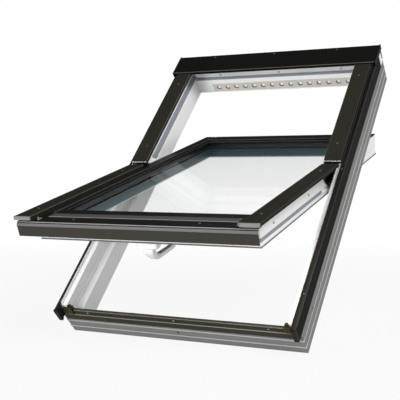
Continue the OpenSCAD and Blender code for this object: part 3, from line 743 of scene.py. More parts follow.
class Finishes:
    """Every finish of the window, made once and shared."""

    def __init__(self) -> None:
        """Makes the materials."""
        black = srgb(20, 20, 19)
        cover = CoatedSheet(srgb(37, 36, 31))
        hood = CoatedSheet(srgb(18, 18, 16), grain=Along.ACROSS)
        sill = CoatedSheet(srgb(60, 56, 49), grain=Along.ACROSS)
        cap = CoatedSheet(srgb(23, 23, 22), roughness=0.36, gloss=0.03)
        # Pale coating of the bead on the lower cap: a painted highlight.
        bead = CoatedSheet(srgb(72, 70, 71), roughness=0.3, gloss=0.03, grain=Along.ACROSS)
        handle = MouldedPlastic(srgb(237, 238, 240), roughness=0.22, grain=0.00002, coat=0.4)
        zones = (
            FrontZone(-35.3, -30.0, black),
            # Painted highlight on the rounded fold of the lip.
            FrontZone(-37.4, -35.3, srgb(126, 125, 123)),
            # Painted shadow in the groove below the fold.
            FrontZone(-39.6, -37.4, black),
            FrontZone(-47.8, -39.6, srgb(98, 96, 98)),
        )
        self.white_frame = WhitePlastic().material("white_frame", Axes.FRAME)
        self.ridge = WhitePlastic(srgb(250, 250, 249)).material("ridge_white", Axes.FRAME)
        # The sash's glass opening gets painted shade in dark teal.
        self.white_sash = WhitePlastic(reveal_shade=srgb(60, 106, 116)).material("white_sash", Axes.SASH)
        self.cover_frame = cover.material("cover_frame", Axes.FRAME)
        self.cover_sash = cover.material("cover_sash", Axes.SASH)
        # The jamb cladding gets a painted reflection on its front and painted shade towards its upper end.
        self.cladding = JambCoatingPaintedLight(srgb(17, 16, 14)).material("jamb_coating_painted_light", Axes.FRAME)
        self.hood = hood.material("hood_coating", Axes.FRAME)
        self.cap = cap.material("cap_coating", Axes.SASH)
        self.bead = bead.material("bead_painted_highlight", Axes.SASH)
        self.sill = sill.material("sill_coating", Axes.FRAME)
        self.front = FoldedFront(srgb(55, 52, 48), zones).material("front_coating", Axes.SASH)
        self.split = TippedPlate(black, srgb(196, 197, 197)).material("split_plate", Axes.FRAME)
        self.board = GreyBoard().material("grey_board", Axes.FRAME)
        self.brown = MouldedPlastic(srgb(38, 33, 28), gloss=0.06).material("brown_plug")
        self.olive = MouldedPlastic(srgb(58, 50, 31), gloss=0.06).material("olive_plug")
        # The vent flap gets painted light behind each hole and painted shade round it.
        self.flap = PaintedLightFlap(srgb(244, 243, 240), srgb(96, 92, 88)).material("vent_flap", Axes.FRAME)
        self.stud = MouldedPlastic(srgb(70, 68, 66)).material("board_stud")
        self.black = MouldedPlastic(srgb(14, 14, 13), gloss=0.04).material("black_plate")
        self.end = MouldedPlastic(srgb(122, 122, 120)).material("light_end")
        self.vent = MouldedPlastic(srgb(210, 204, 196)).material("vent_plastic")
        self.handle = handle.material("handle_white")
        self.grip = MouldedPlastic(srgb(104, 106, 110), roughness=0.45).material("grip_grey")
        self.seal = Rubber(srgb(142, 148, 156)).material("grey_seal")
        self.edge = Rubber(srgb(98, 102, 106)).material("edge_seal")
        self.tape = Rubber(srgb(24, 27, 28)).material("black_tape")
        self.spacer = BareMetal(srgb(60, 66, 68), roughness=0.4).material("spacer_bar")
        self.hinge = BareMetal(srgb(48, 38, 22), roughness=0.42).material("hinge_brown")
        self.zinc = BareMetal(srgb(170, 170, 168)).material("zinc_screw")
        self.glass = ClearGlass().material("clear_glass", Axes.SASH)


@dataclass
class Shell:
    """Closed surface: points in metres in the shared frame, faces, and how much painted highlight each point
    gets.
    """

    points: np.ndarray
    faces: list[list[int]]
    fold: np.ndarray

    @staticmethod
    def join(*parts: "Shell") -> "Shell":
        """Puts several shells into one.

        Args:
            parts: the shells.

        Returns:
            The shell that holds them all.
        """
        starts = np.cumsum([0] + [len(part.points) for part in parts]).tolist()
        faces = [[k + start for k in face] for part, start in zip(parts, starts) for face in part.faces]
        points, fold = ([getattr(part, key) for part in parts] for key in ("points", "fold"))
        return Shell(np.concatenate(points), faces, np.concatenate(fold))


@dataclass(frozen=True)
class Mesher:
    """Turns shells into pieces, smooth over bends up to an angle, that ride on a body."""

    soft_angle: float = 40.0

    def piece(
        self, name: str, shell: Shell, material: bpy.types.Material, smooth: bool = True
    ) -> bpy.types.Object:
        """Makes one object at the origin with its place in its mesh.

        Args:
            name: the piece's name.
            shell: its surface.
            material: its finish.
            smooth: whether soft bends are shaded as one surface.

        Returns:
            The object.
        """
        mesh = bpy.data.meshes.new(name)
        mesh.from_pydata(shell.points.tolist(), [], shell.faces)
        mesh.update()
        mesh.attributes.new(FOLD, "FLOAT", "POINT").data.foreach_set("value", shell.fold.astype(np.float32))
        mesh.polygons.foreach_set("use_smooth", np.full(len(mesh.polygons), smooth))
        mesh.materials.append(material)
        made = bpy.data.objects.new(name, mesh)
        bpy.context.scene.collection.objects.link(made)
        if smooth:
            mesh.set_sharp_from_angle(angle=math.radians(self.soft_angle))
            made.modifiers.new("even_shading", "WEIGHTED_NORMAL").keep_sharp = True
        return made

    def fit(
        self, name: str, shell: Shell, material: bpy.types.Material, body: Body, slot: str, *nodes: str
    ) -> None:
        """Makes a piece, puts it on its body and hides the solids that it stands for.

        Args:
            name: the piece's name.
            shell: its surface.
            material: its finish.
            body: what it moves with.
            slot: a material slot's name; not used.
            nodes: the solids that it replaces.
        """
        made = self.piece(name, shell, material)
        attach(made, body.value)
        if nodes:
            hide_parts(*nodes)
        LOG.info("piece %s rides on %s", name, body.value)


MESHER = Mesher()


@dataclass(frozen=True)
class Bend:
    """Corner of a folded section: its place, its radius and how much painted highlight it gets."""

    first: float
    out: float
    radius: float = 0.5
    worn: float = 0.0


Section = Sequence[Bend]


def plate(first: Run, out: Run, upper: float = 0.5) -> list[Bend]:
    """Returns a rectangular section between two places and two levels; upper rounds its upper corners."""
    (left, right), (low, high) = first, out
    return [Bend(left, low), Bend(right, low), Bend(right, high, upper), Bend(left, high, upper)]


def rounded(section: Section, steps: int = 5, share: float = 0.45) -> tuple[np.ndarray, np.ndarray]:
    """Rounds the corners of a closed section.

    Each corner c becomes the curve (1-s)^2 (c + r a) + 2 s (1-s) c + s^2 (c + r b), with a and b the unit
    vectors to its neighbours and r the radius, held to a share of each side. Its painted highlight is 4 s
    (1-s).

    Args:
        section: corners in order.
        steps: points on each rounded corner.
        share: most of a side that one corner takes.

    Returns:
        Array (n, 2) of outline points and array (n,) of painted highlight.
    """
    corner = np.array([[bend.first, bend.out] for bend in section])
    radius = np.array([bend.radius for bend in section])
    worn = np.array([bend.worn for bend in section])
    before, after = np.roll(corner, 1, axis=0) - corner, np.roll(corner, -1, axis=0) - corner
    len_a, len_b = np.linalg.norm(before, axis=1), np.linalg.norm(after, axis=1)
    reach = np.minimum(radius, share * np.minimum(len_a, len_b))[:, None]
    start, stop = corner + before / len_a[:, None] * reach, corner + after / len_b[:, None] * reach
    s = np.linspace(0.0, 1.0, steps)
    t = s[None, :, None]
    curve = (1 - t) ** 2 * start[:, None] + 2 * t * (1 - t) * corner[:, None] + t**2 * stop[:, None]
    return curve.reshape(-1, 2), (worn[:, None] * 4 * s * (1 - s)).reshape(-1)


def bar(axes: Axes, along: Along, run: Run, section: Section) -> Shell:
    """Carries a rounded section along a straight line and closes both ends.

    Point (i, k) lies at the lower or upper station, with the section's two values on the other local axes.
    The section is turned anticlockwise first, so that every face looks outward.

    Args:
        axes: the body's axes.
        along: the axis that the bar follows.
        run: lower and upper station, in millimetres.
        section: corners; the first value is up the slope for a bar across, and across for one up the slope.

    Returns:
        The bar.
    """
    outline, worn = rounded(section)
    x, y = outline[:, 0], outline[:, 1]
    if np.sum(x * np.roll(y, -1) - np.roll(x, -1) * y) < 0:
        outline, worn = outline[::-1], worn[::-1]
    count = len(outline)
    first, out = (np.tile(outline[:, k], (2, 1)) for k in range(2))
    station = np.repeat(np.array(run)[:, None], count, axis=1)
    order = (station, first, out) if along is Along.ACROSS else (first, station, out)
    points = axes.value.shared(np.stack(order, axis=-1)).reshape(-1, 3)
    k = np.arange(count)
    quads = np.stack([k, (k + 1) % count, (k + 1) % count + count, k + count], axis=1)
    caps = [k[::-1], k + count]
    if along is Along.SLOPE:
        quads, caps = quads[:, ::-1], [k, (k + count)[::-1]]
    return Shell(points, quads.tolist() + [cap.tolist() for cap in caps], np.tile(worn, 2))


def cross_bar(axes: Axes, half: float, section: Section) -> Shell:
    """Returns a bar across the window, as long to the left as to the right."""
    return bar(axes, Along.ACROSS, (-half, half), section)


def side_bar(axes: Axes, run: Run, section: Section, side: float) -> Shell:
    """Returns a bar up the slope on the right side (1), or mirrored to the left side (-1)."""
    placed = [Bend(side * bend.first, bend.out, bend.radius, bend.worn) for bend in section]
    return bar(axes, Along.SLOPE, run, placed)


def ring_loft(axes: Axes, rings: np.ndarray) -> Shell:
    """Joins closed rings into a skin and closes the first and last ring.

    Args:
        axes: the body's axes.
        rings: array (stations, points, 3) of local points in millimetres; seen against the run of the
            stations, each ring turns anticlockwise.

    Returns:
        The skin.
    """
    count, size = rings.shape[:2]
    k = np.arange(size)
    row = (np.arange(count - 1) * size)[:, None]
    ahead = (k + 1) % size
    quads = np.stack([row + k, row + ahead, row + ahead + size, row + k + size], axis=-1)
    caps = [k[::-1].tolist(), (k + (count - 1) * size).tolist()]
    points = axes.value.shared(rings).reshape(-1, 3)
    return Shell(points, quads.reshape(-1, 4).tolist() + caps, np.zeros(len(points)))


def oval(count: int, power: float) -> tuple[np.ndarray, np.ndarray]:
    """Makes a unit superellipse: the signed powers 2/p of the cosine and the sine of an angle.

    Args:
        count: points round it.
        power: 2 for an ellipse, larger for a rounded box.

    Returns:
        Its two coordinates.
    """
    angle = np.linspace(0.0, 2 * np.pi, count, endpoint=False)
    cos, sin = np.cos(angle), np.sin(angle)
    return tuple(np.sign(c) * np.abs(c) ** (2.0 / power) for c in (cos, sin))


def smooth_path(keys: np.ndarray, per_span: int) -> np.ndarray:
    """Runs a smooth curve through key rows.

    On each span the value is the cubic h00 p0 + h10 d0 + h01 p1 + h11 d1 with the four Hermite weights,
    where d is half the step from the row before to the row after, and the end rows stand for missing ones.

    Args:
        keys: array (n, k) of key rows.
        per_span: points on each span.

    Returns:
        Array of rows along the curve.
    """
    padded = np.concatenate([keys[:1], keys, keys[-1:]])
    slope = (padded[2:] - padded[:-2]) * 0.5
    s = np.linspace(0.0, 1.0, per_span, endpoint=False)[None, :, None]
    h00, h10 = 2 * s**3 - 3 * s**2 + 1, s**3 - 2 * s**2 + s
    h01, h11 = -2 * s**3 + 3 * s**2, s**3 - s**2
    spans = h00 * keys[:-1, None] + h10 * slope[:-1, None] + h01 * keys[1:, None] + h11 * slope[1:, None]
    return np.concatenate([spans.reshape(-1, keys.shape[1]), keys[-1:]])


@dataclass
class CoverSheets:
    """The four dark covers: two on the frame above the pivot line and two on the sash below it."""

    finishes: Finishes
    frame_run: Run = (614.0, 1170.0)
    sash_run: Run = (SIZES.v_nose, -5.0)
    sash_hem: float = -29.5
    bend: float = 2.6
    back_bend: float = 1.0

    def _section(self, top: float, hem_out: float, hem_in: float) -> list[Bend]:
        """Makes a channel section for the right side.

        Args:
            top: level of the front face.
            hem_out: level of the outer flange's edge.
            hem_in: level of the inner flange's edge.

        Returns:
            The corners.
        """
        out, inner, t = SIZES.cover_out, SIZES.cover_in, SIZES.sheet
        return [
            Bend(out, hem_out),
            Bend(out, top, self.bend, 0.08),
            Bend(inner, top, self.bend, 0.22),
            Bend(inner, hem_in),
            Bend(inner + t, hem_in),
            Bend(inner + t, top - t, self.back_bend),
            Bend(out - t, top - t, self.back_bend),
            Bend(out - t, hem_out),
        ]

    def build(self) -> None:
        """Makes the covers on both sides."""
        upper = self._section(SIZES.cover_n, SIZES.ledge_n, SIZES.clad_n)
        lower = self._section(SIZES.m_cover, self.sash_hem, SIZES.m_cap)
        slot = "dark_cladding"
        for name, side in SIDES:
            shell, finish = side_bar(Axes.FRAME, self.frame_run, upper, side), self.finishes.cover_frame
            MESHER.fit(f"upper_cover_sheet_{name}", shell, finish, Body.FRAME, slot, f"upper_cover_{name}")
            shell, finish = side_bar(Axes.SASH, self.sash_run, lower, side), self.finishes.cover_sash
            MESHER.fit(f"sash_cover_sheet_{name}", shell, finish, Body.SASH, slot, f"sash_cover_{name}")


@dataclass
class FrameSheets:
    """Folded sheets of the fixed frame: jamb cladding with a raised rim, sill cladding, hood."""

    finishes: Finishes
    jamb_run: Run = (-17.0, 1143.0)
    skirt_n: float = 87.0
    rim_n: float = 142.0
    apron_half: float = 378.3
    apron_u: Run = (-2.0, 6.0)
    apron_n: Run = (66.0, 90.0)
    upstand_half: float = 347.0
    upstand_u: Run = (4.0, 13.0)
    upstand_n: Run = (88.0, 104.0)
    hood_u: Run = (1089.0, 1184.0)
    hood_n: float = 152.0
    hood_hem: float = 92.0
    hood_lip: float = 140.0
    lip_overlap: float = 1.0
    back_bend: float = 0.8

    def _jambs(self) -> None:
        """Makes the jamb cladding: flange, narrow front and raised rim."""
        w, t, x = SIZES.half_w, SIZES.sheet, SIZES.clad_x
        section = [
            Bend(w, self.skirt_n),
            Bend(w + t, self.skirt_n),
            Bend(w + t, SIZES.clad_n, 2.4, 0.14),
            Bend(x + t, SIZES.clad_n, 1.2),
            Bend(x + t, self.rim_n, 0.8, 0.2),
            Bend(x, self.rim_n, 0.8),
            Bend(x, SIZES.core_n, self.back_bend),
            Bend(w, SIZES.core_n, self.back_bend),
        ]
        for name, side in SIDES:
            shell, finish = side_bar(Axes.FRAME, self.jamb_run, section, side), self.finishes.cladding
            node = f"jamb_cladding_{name}"
            MESHER.fit(f"jamb_sheet_{name}", shell, finish, Body.FRAME, "dark_cladding", node)

    def _angle(self, along: Run, out: Run, bend: Bend) -> list[Bend]:
        """Makes an angle section: one leg up from its hem, and one leg back from the bend at its top.

        Args:
            along: places of the front face and of the back edge.
            out: levels of the hem and of the top.
            bend: place, radius and wear of the bend.

        Returns:
            The corners.
        """
        (front, back), (hem, top), t = along, out, SIZES.sheet
        inner = Bend(front + t, top - t, self.back_bend)
        return [Bend(front, hem), Bend(front + t, hem), inner, Bend(back, top - t), Bend(back, top), bend]

    def _sill(self) -> None:
        """Makes the sill cladding: apron with a painted highlight on its hem, band, and upstand with a
        folded top.
        """
        apron = self._angle(self.apron_u, self.apron_n, Bend(self.apron_u[0], self.apron_n[1], 2.4, 0.7))
        apron[0] = Bend(self.apron_u[0], self.apron_n[0], worn=0.6)
        upstand = self._angle(
            self.upstand_u, self.upstand_n, Bend(self.upstand_u[0], self.upstand_n[1], 2.2, 0.5)
        )
        shell = Shell.join(
            cross_bar(Axes.FRAME, self.apron_half, apron), cross_bar(Axes.FRAME, self.upstand_half, upstand)
        )
        MESHER.fit("sill_sheet", shell, self.finishes.sill, Body.FRAME, "sill_metal", "sill_cladding")

    def _hood(self) -> None:
        """Makes the hood: front, back flange, lower flange and the deeper lip between the covers."""
        (low, high), n, t = self.hood_u, self.hood_n, SIZES.sheet
        body = [
            Bend(low, n, 2.4, 0.26),
            Bend(low, SIZES.cover_n),
            Bend(low + t, SIZES.cover_n),
            Bend(low + t, n - t, 1.0),
            Bend(high - t, n - t, 1.0),
            Bend(high - t, self.hood_hem),
            Bend(high, self.hood_hem),
            Bend(high, n, 3.0, 0.16),
        ]
        lip = plate((low, low + t), (self.hood_lip, SIZES.cover_n + self.lip_overlap))
        shell = Shell.join(
            cross_bar(Axes.FRAME, SIZES.half_w, body), cross_bar(Axes.FRAME, SIZES.cover_in - SIZES.gap, lip)
        )
        MESHER.fit("hood_sheet", shell, self.finishes.hood, Body.FRAME, "hood_metal", "hood")

    def build(self) -> None:
        """Makes all the sheets of the frame."""
        self._jambs()
        self._sill()
        self._hood()


@dataclass
class SashSheets:
    """Folded sheets of the sash: glazing caps, the bead on the lower one painted pale as a highlight, and
    the front.
    """

    finishes: Finishes
    side_run: Run = (-561.0, SIZES.v_tip)
    side_plate_v: float = 9.0
    side_plate_x: float = SIZES.sash_half - 1.0
    cover_x: float = SIZES.cover_in + SIZES.sheet - SIZES.gap
    cap_groove: float = 1.0
    cap_lip: float = 6.0
    cap_back: float = 4.0
    corner_v: float = SIZES.v_fold + 0.3
    corner_sink: float = 0.1
    corner_overlap: float = 0.6
    bead_run: Run = (-603.0, -572.0)
    bead_m: float = -33.0
    bead_foot: float = SIZES.m_cap - 0.5
    bead_half: float = SIZES.stile_in - 6.0
    front_half: float = 368.5
    front: tuple[Bend, ...] = (
        Bend(SIZES.v_fold, SIZES.m_cap), Bend(-650.0, SIZES.m_cap, 1.0), Bend(-653.2, -37.3),
        Bend(-651.9, -38.1, 0.4), Bend(-652.6, -39.5, 0.4), Bend(-654.6, -39.8), Bend(-657.0, -47.0, 1.4),
        Bend(-655.0, -49.0, 1.0), Bend(-651.0, -79.0, 0.8), Bend(-648.5, -79.0, 0.8),
        Bend(-652.5, -49.6, 1.0), Bend(-654.5, -46.8, 1.0), Bend(-651.5, -40.5), Bend(-648.0, SIZES.m_top),
        Bend(SIZES.v_fold, SIZES.m_top),
    )

    def _cap_section(self, start: float, way: float, stop: float) -> list[Bend]:
        """Makes a cap section: a lip on the glass, a bevel, a fine groove and a flat.

        Args:
            start: edge on the glass.
            way: 1 or -1, the direction away from the glass.
            stop: outer edge.

        Returns:
            The corners.
        """
        glass, cap, top = SIZES.m_glass, SIZES.m_cap, SIZES.m_top
        groove, back = cap - self.cap_groove, glass + self.cap_back
        steps = [
            (0.0, glass, 0.4), (0.0, glass + self.cap_lip, 1.5, 0.15), (7.0, cap, 1.5, 0.35),
            (14.0, cap, 0.3), (15.0, groove, 0.3), (17.0, groove, 0.3), (18.0, cap, 0.3, 0.25),
        ]
        under = [(19.0, top), (18.0, back), (4.0, back, 0.8), (4.0, glass, 0.4)]
        front, rear = ([Bend(start + way * step, *rest) for step, *rest in part] for part in (steps, under))
        return front + [Bend(stop, cap), Bend(stop, top)] + rear

    def _cap(self, place: str, *bars: Shell) -> None:
        """Joins the bars of one glazing cap and puts it on the sash."""
        name, node = f"glazing_sheet_{place}", f"glazing_cap_{place}"
        MESHER.fit(name, Shell.join(*bars), self.finishes.cap, Body.SASH, "cap_metal", node)

    def _caps(self) -> None:
        """Makes the four glazing caps, with plates that fill in under the covers and at lower corners."""
        inner, cover, top, cap = SIZES.stile_in, self.cover_x, SIZES.m_top, SIZES.m_cap
        section = self._cap_section(inner, 1.0, cover)
        filler = plate((cover, self.side_plate_x), (top, cap))
        for name, side in SIDES:
            long_bar = side_bar(Axes.SASH, self.side_run, section, side)
            self._cap(name, long_bar, side_bar(Axes.SASH, (self.side_plate_v, SIZES.v_tip), filler, side))
        upper = self._cap_section(SIZES.rail_top_in, 1.0, SIZES.v_tip)
        self._cap("upper", cross_bar(Axes.SASH, inner, upper))
        lower = self._cap_section(SIZES.rail_low_in, -1.0, SIZES.v_fold)
        corner = plate((self.corner_v, self.side_run[0]), (top + self.corner_sink, cap - self.corner_sink))
        under = inner - self.corner_overlap
        corners = [bar(Axes.SASH, Along.ACROSS, run, corner) for run in ((-cover, -under), (under, cover))]
        self._cap("lower", cross_bar(Axes.SASH, inner, lower), *corners)

    def _bead(self) -> None:
        """Makes the bead on the lower cap; its pale coating and light edges are a painted highlight."""
        (low, high), foot, top = self.bead_run, self.bead_foot, self.bead_m
        section = [Bend(low, foot), Bend(low, top, 1.2, 1.0), Bend(high, top, 1.2, 0.8), Bend(high, foot)]
        shell = cross_bar(Axes.SASH, self.bead_half, section)
        MESHER.fit("lower_bead", shell, self.finishes.bead, Body.SASH, "cap_metal")

    def _front(self) -> None:
        """Makes the folded front: lip, bevel, groove, sloping strip and the face down to its drip edge."""
        shell = cross_bar(Axes.SASH, self.front_half, self.front)
        MESHER.fit("folded_front", shell, self.finishes.front, Body.SASH, "fascia_metal", "fascia")

    def build(self) -> None:
        """Makes all the sheets of the sash."""
        self._caps()
        self._bead()
        self._front()


@dataclass
class FineTrim:
    """Small trim on the frame: ridges along the jambs, the vent's flap and studs in the skirt boards."""

    finishes: Finishes
    ridge_run: Run = (8.0, 1150.0)
    ridges: tuple[Run, ...] = ((362.0, 125.4), (362.0, 88.0), (362.0, 78.6), (347.0, 64.5))
    ridge: float = 1.5
    ridge_root: float = 0.4
    lip_x: Run = (SIZES.clad_x - 1.3, SIZES.clad_x + 0.2)
    lip_n: Run = (126.8, 137.0)
    lip_bend: float = 0.6
    flap_half: float = 273.6
    flap_u: Run = (1152.4, 1155.0)
    flap_n: Run = (13.0, 35.0)
    sill_stud: tuple[float, float, float] = (-3.8, -1.0, 42.0)
    side_studs: tuple[float, ...] = (111.0, 1069.0)
    side_stud_n: float = 59.5
    stud_r: float = 4.2
    stud_h: float = 1.4
    stud_sink: float = 0.3
    stud_turn: float = 0.48 * math.pi
    stud_rings: int = 6
    stud_points: int = 20

    def _ridges(self) -> None:
        """Makes half-round ridges along the inner faces of the jambs, and the lip behind the raised rim."""
        r, root = self.ridge, self.ridge_root
        sections = [
            [
                Bend(x + root, n - r), Bend(x - r, n - 0.5 * r, r),
                Bend(x - r, n + 0.5 * r, r), Bend(x + root, n + r),
            ]
            for x, n in self.ridges
        ]
        lip = plate(self.lip_x, self.lip_n)
        lip[-1] = Bend(self.lip_x[0], self.lip_n[1], self.lip_bend)
        for name, side in SIDES:
            bars = [side_bar(Axes.FRAME, self.ridge_run, section, side) for section in [*sections, lip]]
            shell = Shell.join(*bars)
            MESHER.fit(f"jamb_ridges_{name}", shell, self.finishes.ridge, Body.FRAME, "white_pvc")

    def _flap(self) -> None:
        """Makes the flap that shows through the holes of the vent grille, with painted light and shade."""
        shell = cross_bar(Axes.FRAME, self.flap_half, plate(self.flap_u, self.flap_n))
        MESHER.fit("vent_flap", shell, self.finishes.flap, Body.FRAME, "white_pvc")

    def _stud(self, centre: Sequence[float], away: Sequence[float], turn: Sequence[float]) -> Shell:
        """Makes a domed stud.

        Ring i has the radius r cos(a) and the height h sin(a), with a from 0 to nearly a quarter turn.

        Args:
            centre: its foot in the frame's axes.
            away: unit vector out of the board.
            turn: unit vector along the board.

        Returns:
            The stud.
        """
        rise = np.linspace(0.0, self.stud_turn, self.stud_rings)[:, None, None]
        angle = np.linspace(0.0, 2 * np.pi, self.stud_points, endpoint=False)[None, :, None]
        out, first = np.array(away), np.array(turn)
        second = np.cross(out, first)
        flat = self.stud_r * np.cos(rise) * (np.cos(angle) * first + np.sin(angle) * second)
        rings = np.array(centre) + flat + (self.stud_h * np.sin(rise) - self.stud_sink) * out
        return ring_loft(Axes.FRAME, rings)

    def _studs(self) -> None:
        """Makes the studs of the skirt boards."""
        studs = [self._stud(self.sill_stud, (0.0, -1.0, 0.0), (1.0, 0.0, 0.0))]
        for _, side in SIDES:
            for u in self.side_studs:
                centre = (side * SIZES.half_w, u, self.side_stud_n)
                studs.append(self._stud(centre, (side, 0.0, 0.0), (0.0, 1.0, 0.0)))
        MESHER.fit("board_studs", Shell.join(*studs), self.finishes.stud, Body.FRAME, "steel")

    def build(self) -> None:
        """Makes all the trim."""
        self._ridges()
        self._flap()
        self._studs()


@dataclass
class HandleSet:
    """Handle under the lower rail: moulded rosette, lever with a flared neck, and a grey pad in its grip.

    A row of the lever gives the place along it, its level from the foot, and half its thickness and width.
    A row of the rosette gives a level, and half its width and length.
    """

    finishes: Finishes
    v_axis: float = -565.0
    m_foot: float = -128.0
    lever: tuple[tuple[float, ...], ...] = (
        (0.0, -0.2, 11.6, 17.3), (0.6, -7.0, 11.4, 17.0), (8.0, -18.5, 9.6, 14.8), (19.0, -29.0, 8.0, 11.8),
        (31.0, -35.0, 6.9, 10.3), (45.0, -36.2, 6.5, 10.0), (90.0, -35.4, 6.2, 10.0),
        (126.0, -34.4, 5.5, 9.8), (135.0, -34.0, 4.6, 8.6), (139.0, -33.8, 2.8, 5.6),
        (140.2, -33.7, 1.0, 2.0),
    )
    lever_steps: int = 5
    lever_points: int = 36
    lever_power: float = 4.4
    rosette: tuple[tuple[float, ...], ...] = (
        (-107.5, 33.0, 16.0), (-120.0, 33.0, 16.0), (-124.8, 32.2, 15.3), (-127.0, 30.2, 13.4),
        (-127.6, 27.0, 10.4),
    )
    rosette_points: int = 48
    rosette_power: float = 5.0
    pad_run: Run = (48.0, 126.0)
    pad_half: float = 7.4
    pad_depth: Run = (-31.0, -28.9)

    def _lever(self) -> None:
        """Makes the lever: superellipse rings square to a smooth path."""
        along, level, thick, wide = smooth_path(np.array(self.lever), self.lever_steps).T[..., None]
        step = np.gradient(np.concatenate([along, level], axis=1), axis=0)
        step /= np.linalg.norm(step, axis=1)[:, None]
        across, lift = oval(self.lever_points, self.lever_power)
        v = self.v_axis + along + thick * lift * -step[:, 1, None]
        m = self.m_foot + level + thick * lift * step[:, 0, None]
        shell = ring_loft(Axes.SASH, np.stack([wide * across, v, m], axis=-1)[:, ::-1])
        MESHER.fit("lever", shell, self.finishes.handle, Body.HANDLE, "handle_white", "handle")

    def _pad(self) -> None:
        """Makes the pad let into the sash side of the grip."""
        section = plate((-self.pad_half, self.pad_half), tuple(self.m_foot + m for m in self.pad_depth), 1.0)
        shell = bar(Axes.SASH, Along.SLOPE, tuple(self.v_axis + v for v in self.pad_run), section)
        MESHER.fit("grip_pad", shell, self.finishes.grip, Body.HANDLE, "handle_white")

    def _rosette(self) -> None:
        """Makes the rosette: superellipse rings that draw in towards its face."""
        level, wide, long = np.array(self.rosette).T[..., None]
        first, second = oval(self.rosette_points, self.rosette_power)
        m = np.repeat(level, self.rosette_points, axis=1)
        rings = np.stack([wide * first, self.v_axis + long * second, m], axis=-1)[:, ::-1]
        shell = ring_loft(Axes.SASH, rings)
        MESHER.fit("rosette", shell, self.finishes.handle, Body.SASH, "handle_white", "handle_plate")

    def build(self) -> None:
        """Makes the handle set."""
        self._rosette()
        self._lever()
        self._pad()


@dataclass
class Dresser:
    """Gives each solid of the window its finish."""

    finishes: Finishes
    left: set[str] = field(default_factory=lambda: set(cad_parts))

    def dress(self, material: bpy.types.Material, *nodes: str) -> None:
        """Assigns one finish to solids.

        Args:
            material: the finish.
            nodes: names of the solids.
        """
        for node in nodes:
            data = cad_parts[node].data
            data.materials.clear()
            data.materials.append(material)
            self.left.discard(node)
            LOG.info("solid %s gets %s", node, material.name)

    def sides(self, material: bpy.types.Material, *stems: str) -> None:
        """Assigns one finish to the left and right solid of each stem."""
        self.dress(material, *(f"{stem}_{name}" for stem in stems for name, _ in SIDES))

    def build(self) -> None:
        """Dresses every solid, also those that a new piece stands for."""
        f = self.finishes
        self.dress(f.white_frame, "frame_sill", "frame_head", "hood_brackets")
        self.sides(f.white_frame, "frame_jamb", "frame_stop")
        self.dress(f.board, "skirt_sill", "skirt_head")
        self.sides(f.board, "skirt")
        self.sides(f.cover_frame, "jamb_cladding", "upper_cover")
        self.sides(f.brown, "cladding_plug")
        self.dress(f.olive, "corner_plugs")
        self.dress(f.sill, "sill_cladding")
        self.dress(f.hood, "hood")
        self.sides(f.black, "hood_plate")
        self.dress(f.seal, "frame_seal", "sash_seal")
        self.dress(f.vent, "vent_grille")
        self.sides(f.hinge, "frame_hinge", "sash_hinge")
        self.dress(f.zinc, "lock_keeps", "lock_rod", "frame_screws", "head_screws", "sash_screws")
        self.dress(f.split, "cover_split_ends")
        self.dress(f.white_sash, "sash_lower_rail", "sash_upper_rail")
        self.sides(f.white_sash, "sash_stile", "sash_stop")
        self.dress(f.glass, "pane_outer", "pane_inner")
        self.dress(f.spacer, "spacer")
        self.dress(f.tape, "glazing_tape")
        self.sides(f.cap, "glazing_cap")
        self.dress(f.cap, "glazing_cap_upper", "glazing_cap_lower")
        self.sides(f.cover_sash, "sash_cover")
        self.sides(f.end, "cover_end")
        self.dress(f.end, "corner_clips")
        self.dress(f.front, "fascia")
        self.dress(f.edge, "sash_edge_seal")
        self.dress(f.handle, "handle_plate", "handle")
        if self.left:
            raise ValueError(f"no finish for {sorted(self.left)}")


@dataclass(frozen=True)
class Lamp:
    """Square soft light: its name, its place and side in metres, and its power in watts."""

    name: str
    at: tuple[float, float, float]
    side: float
    watts: float


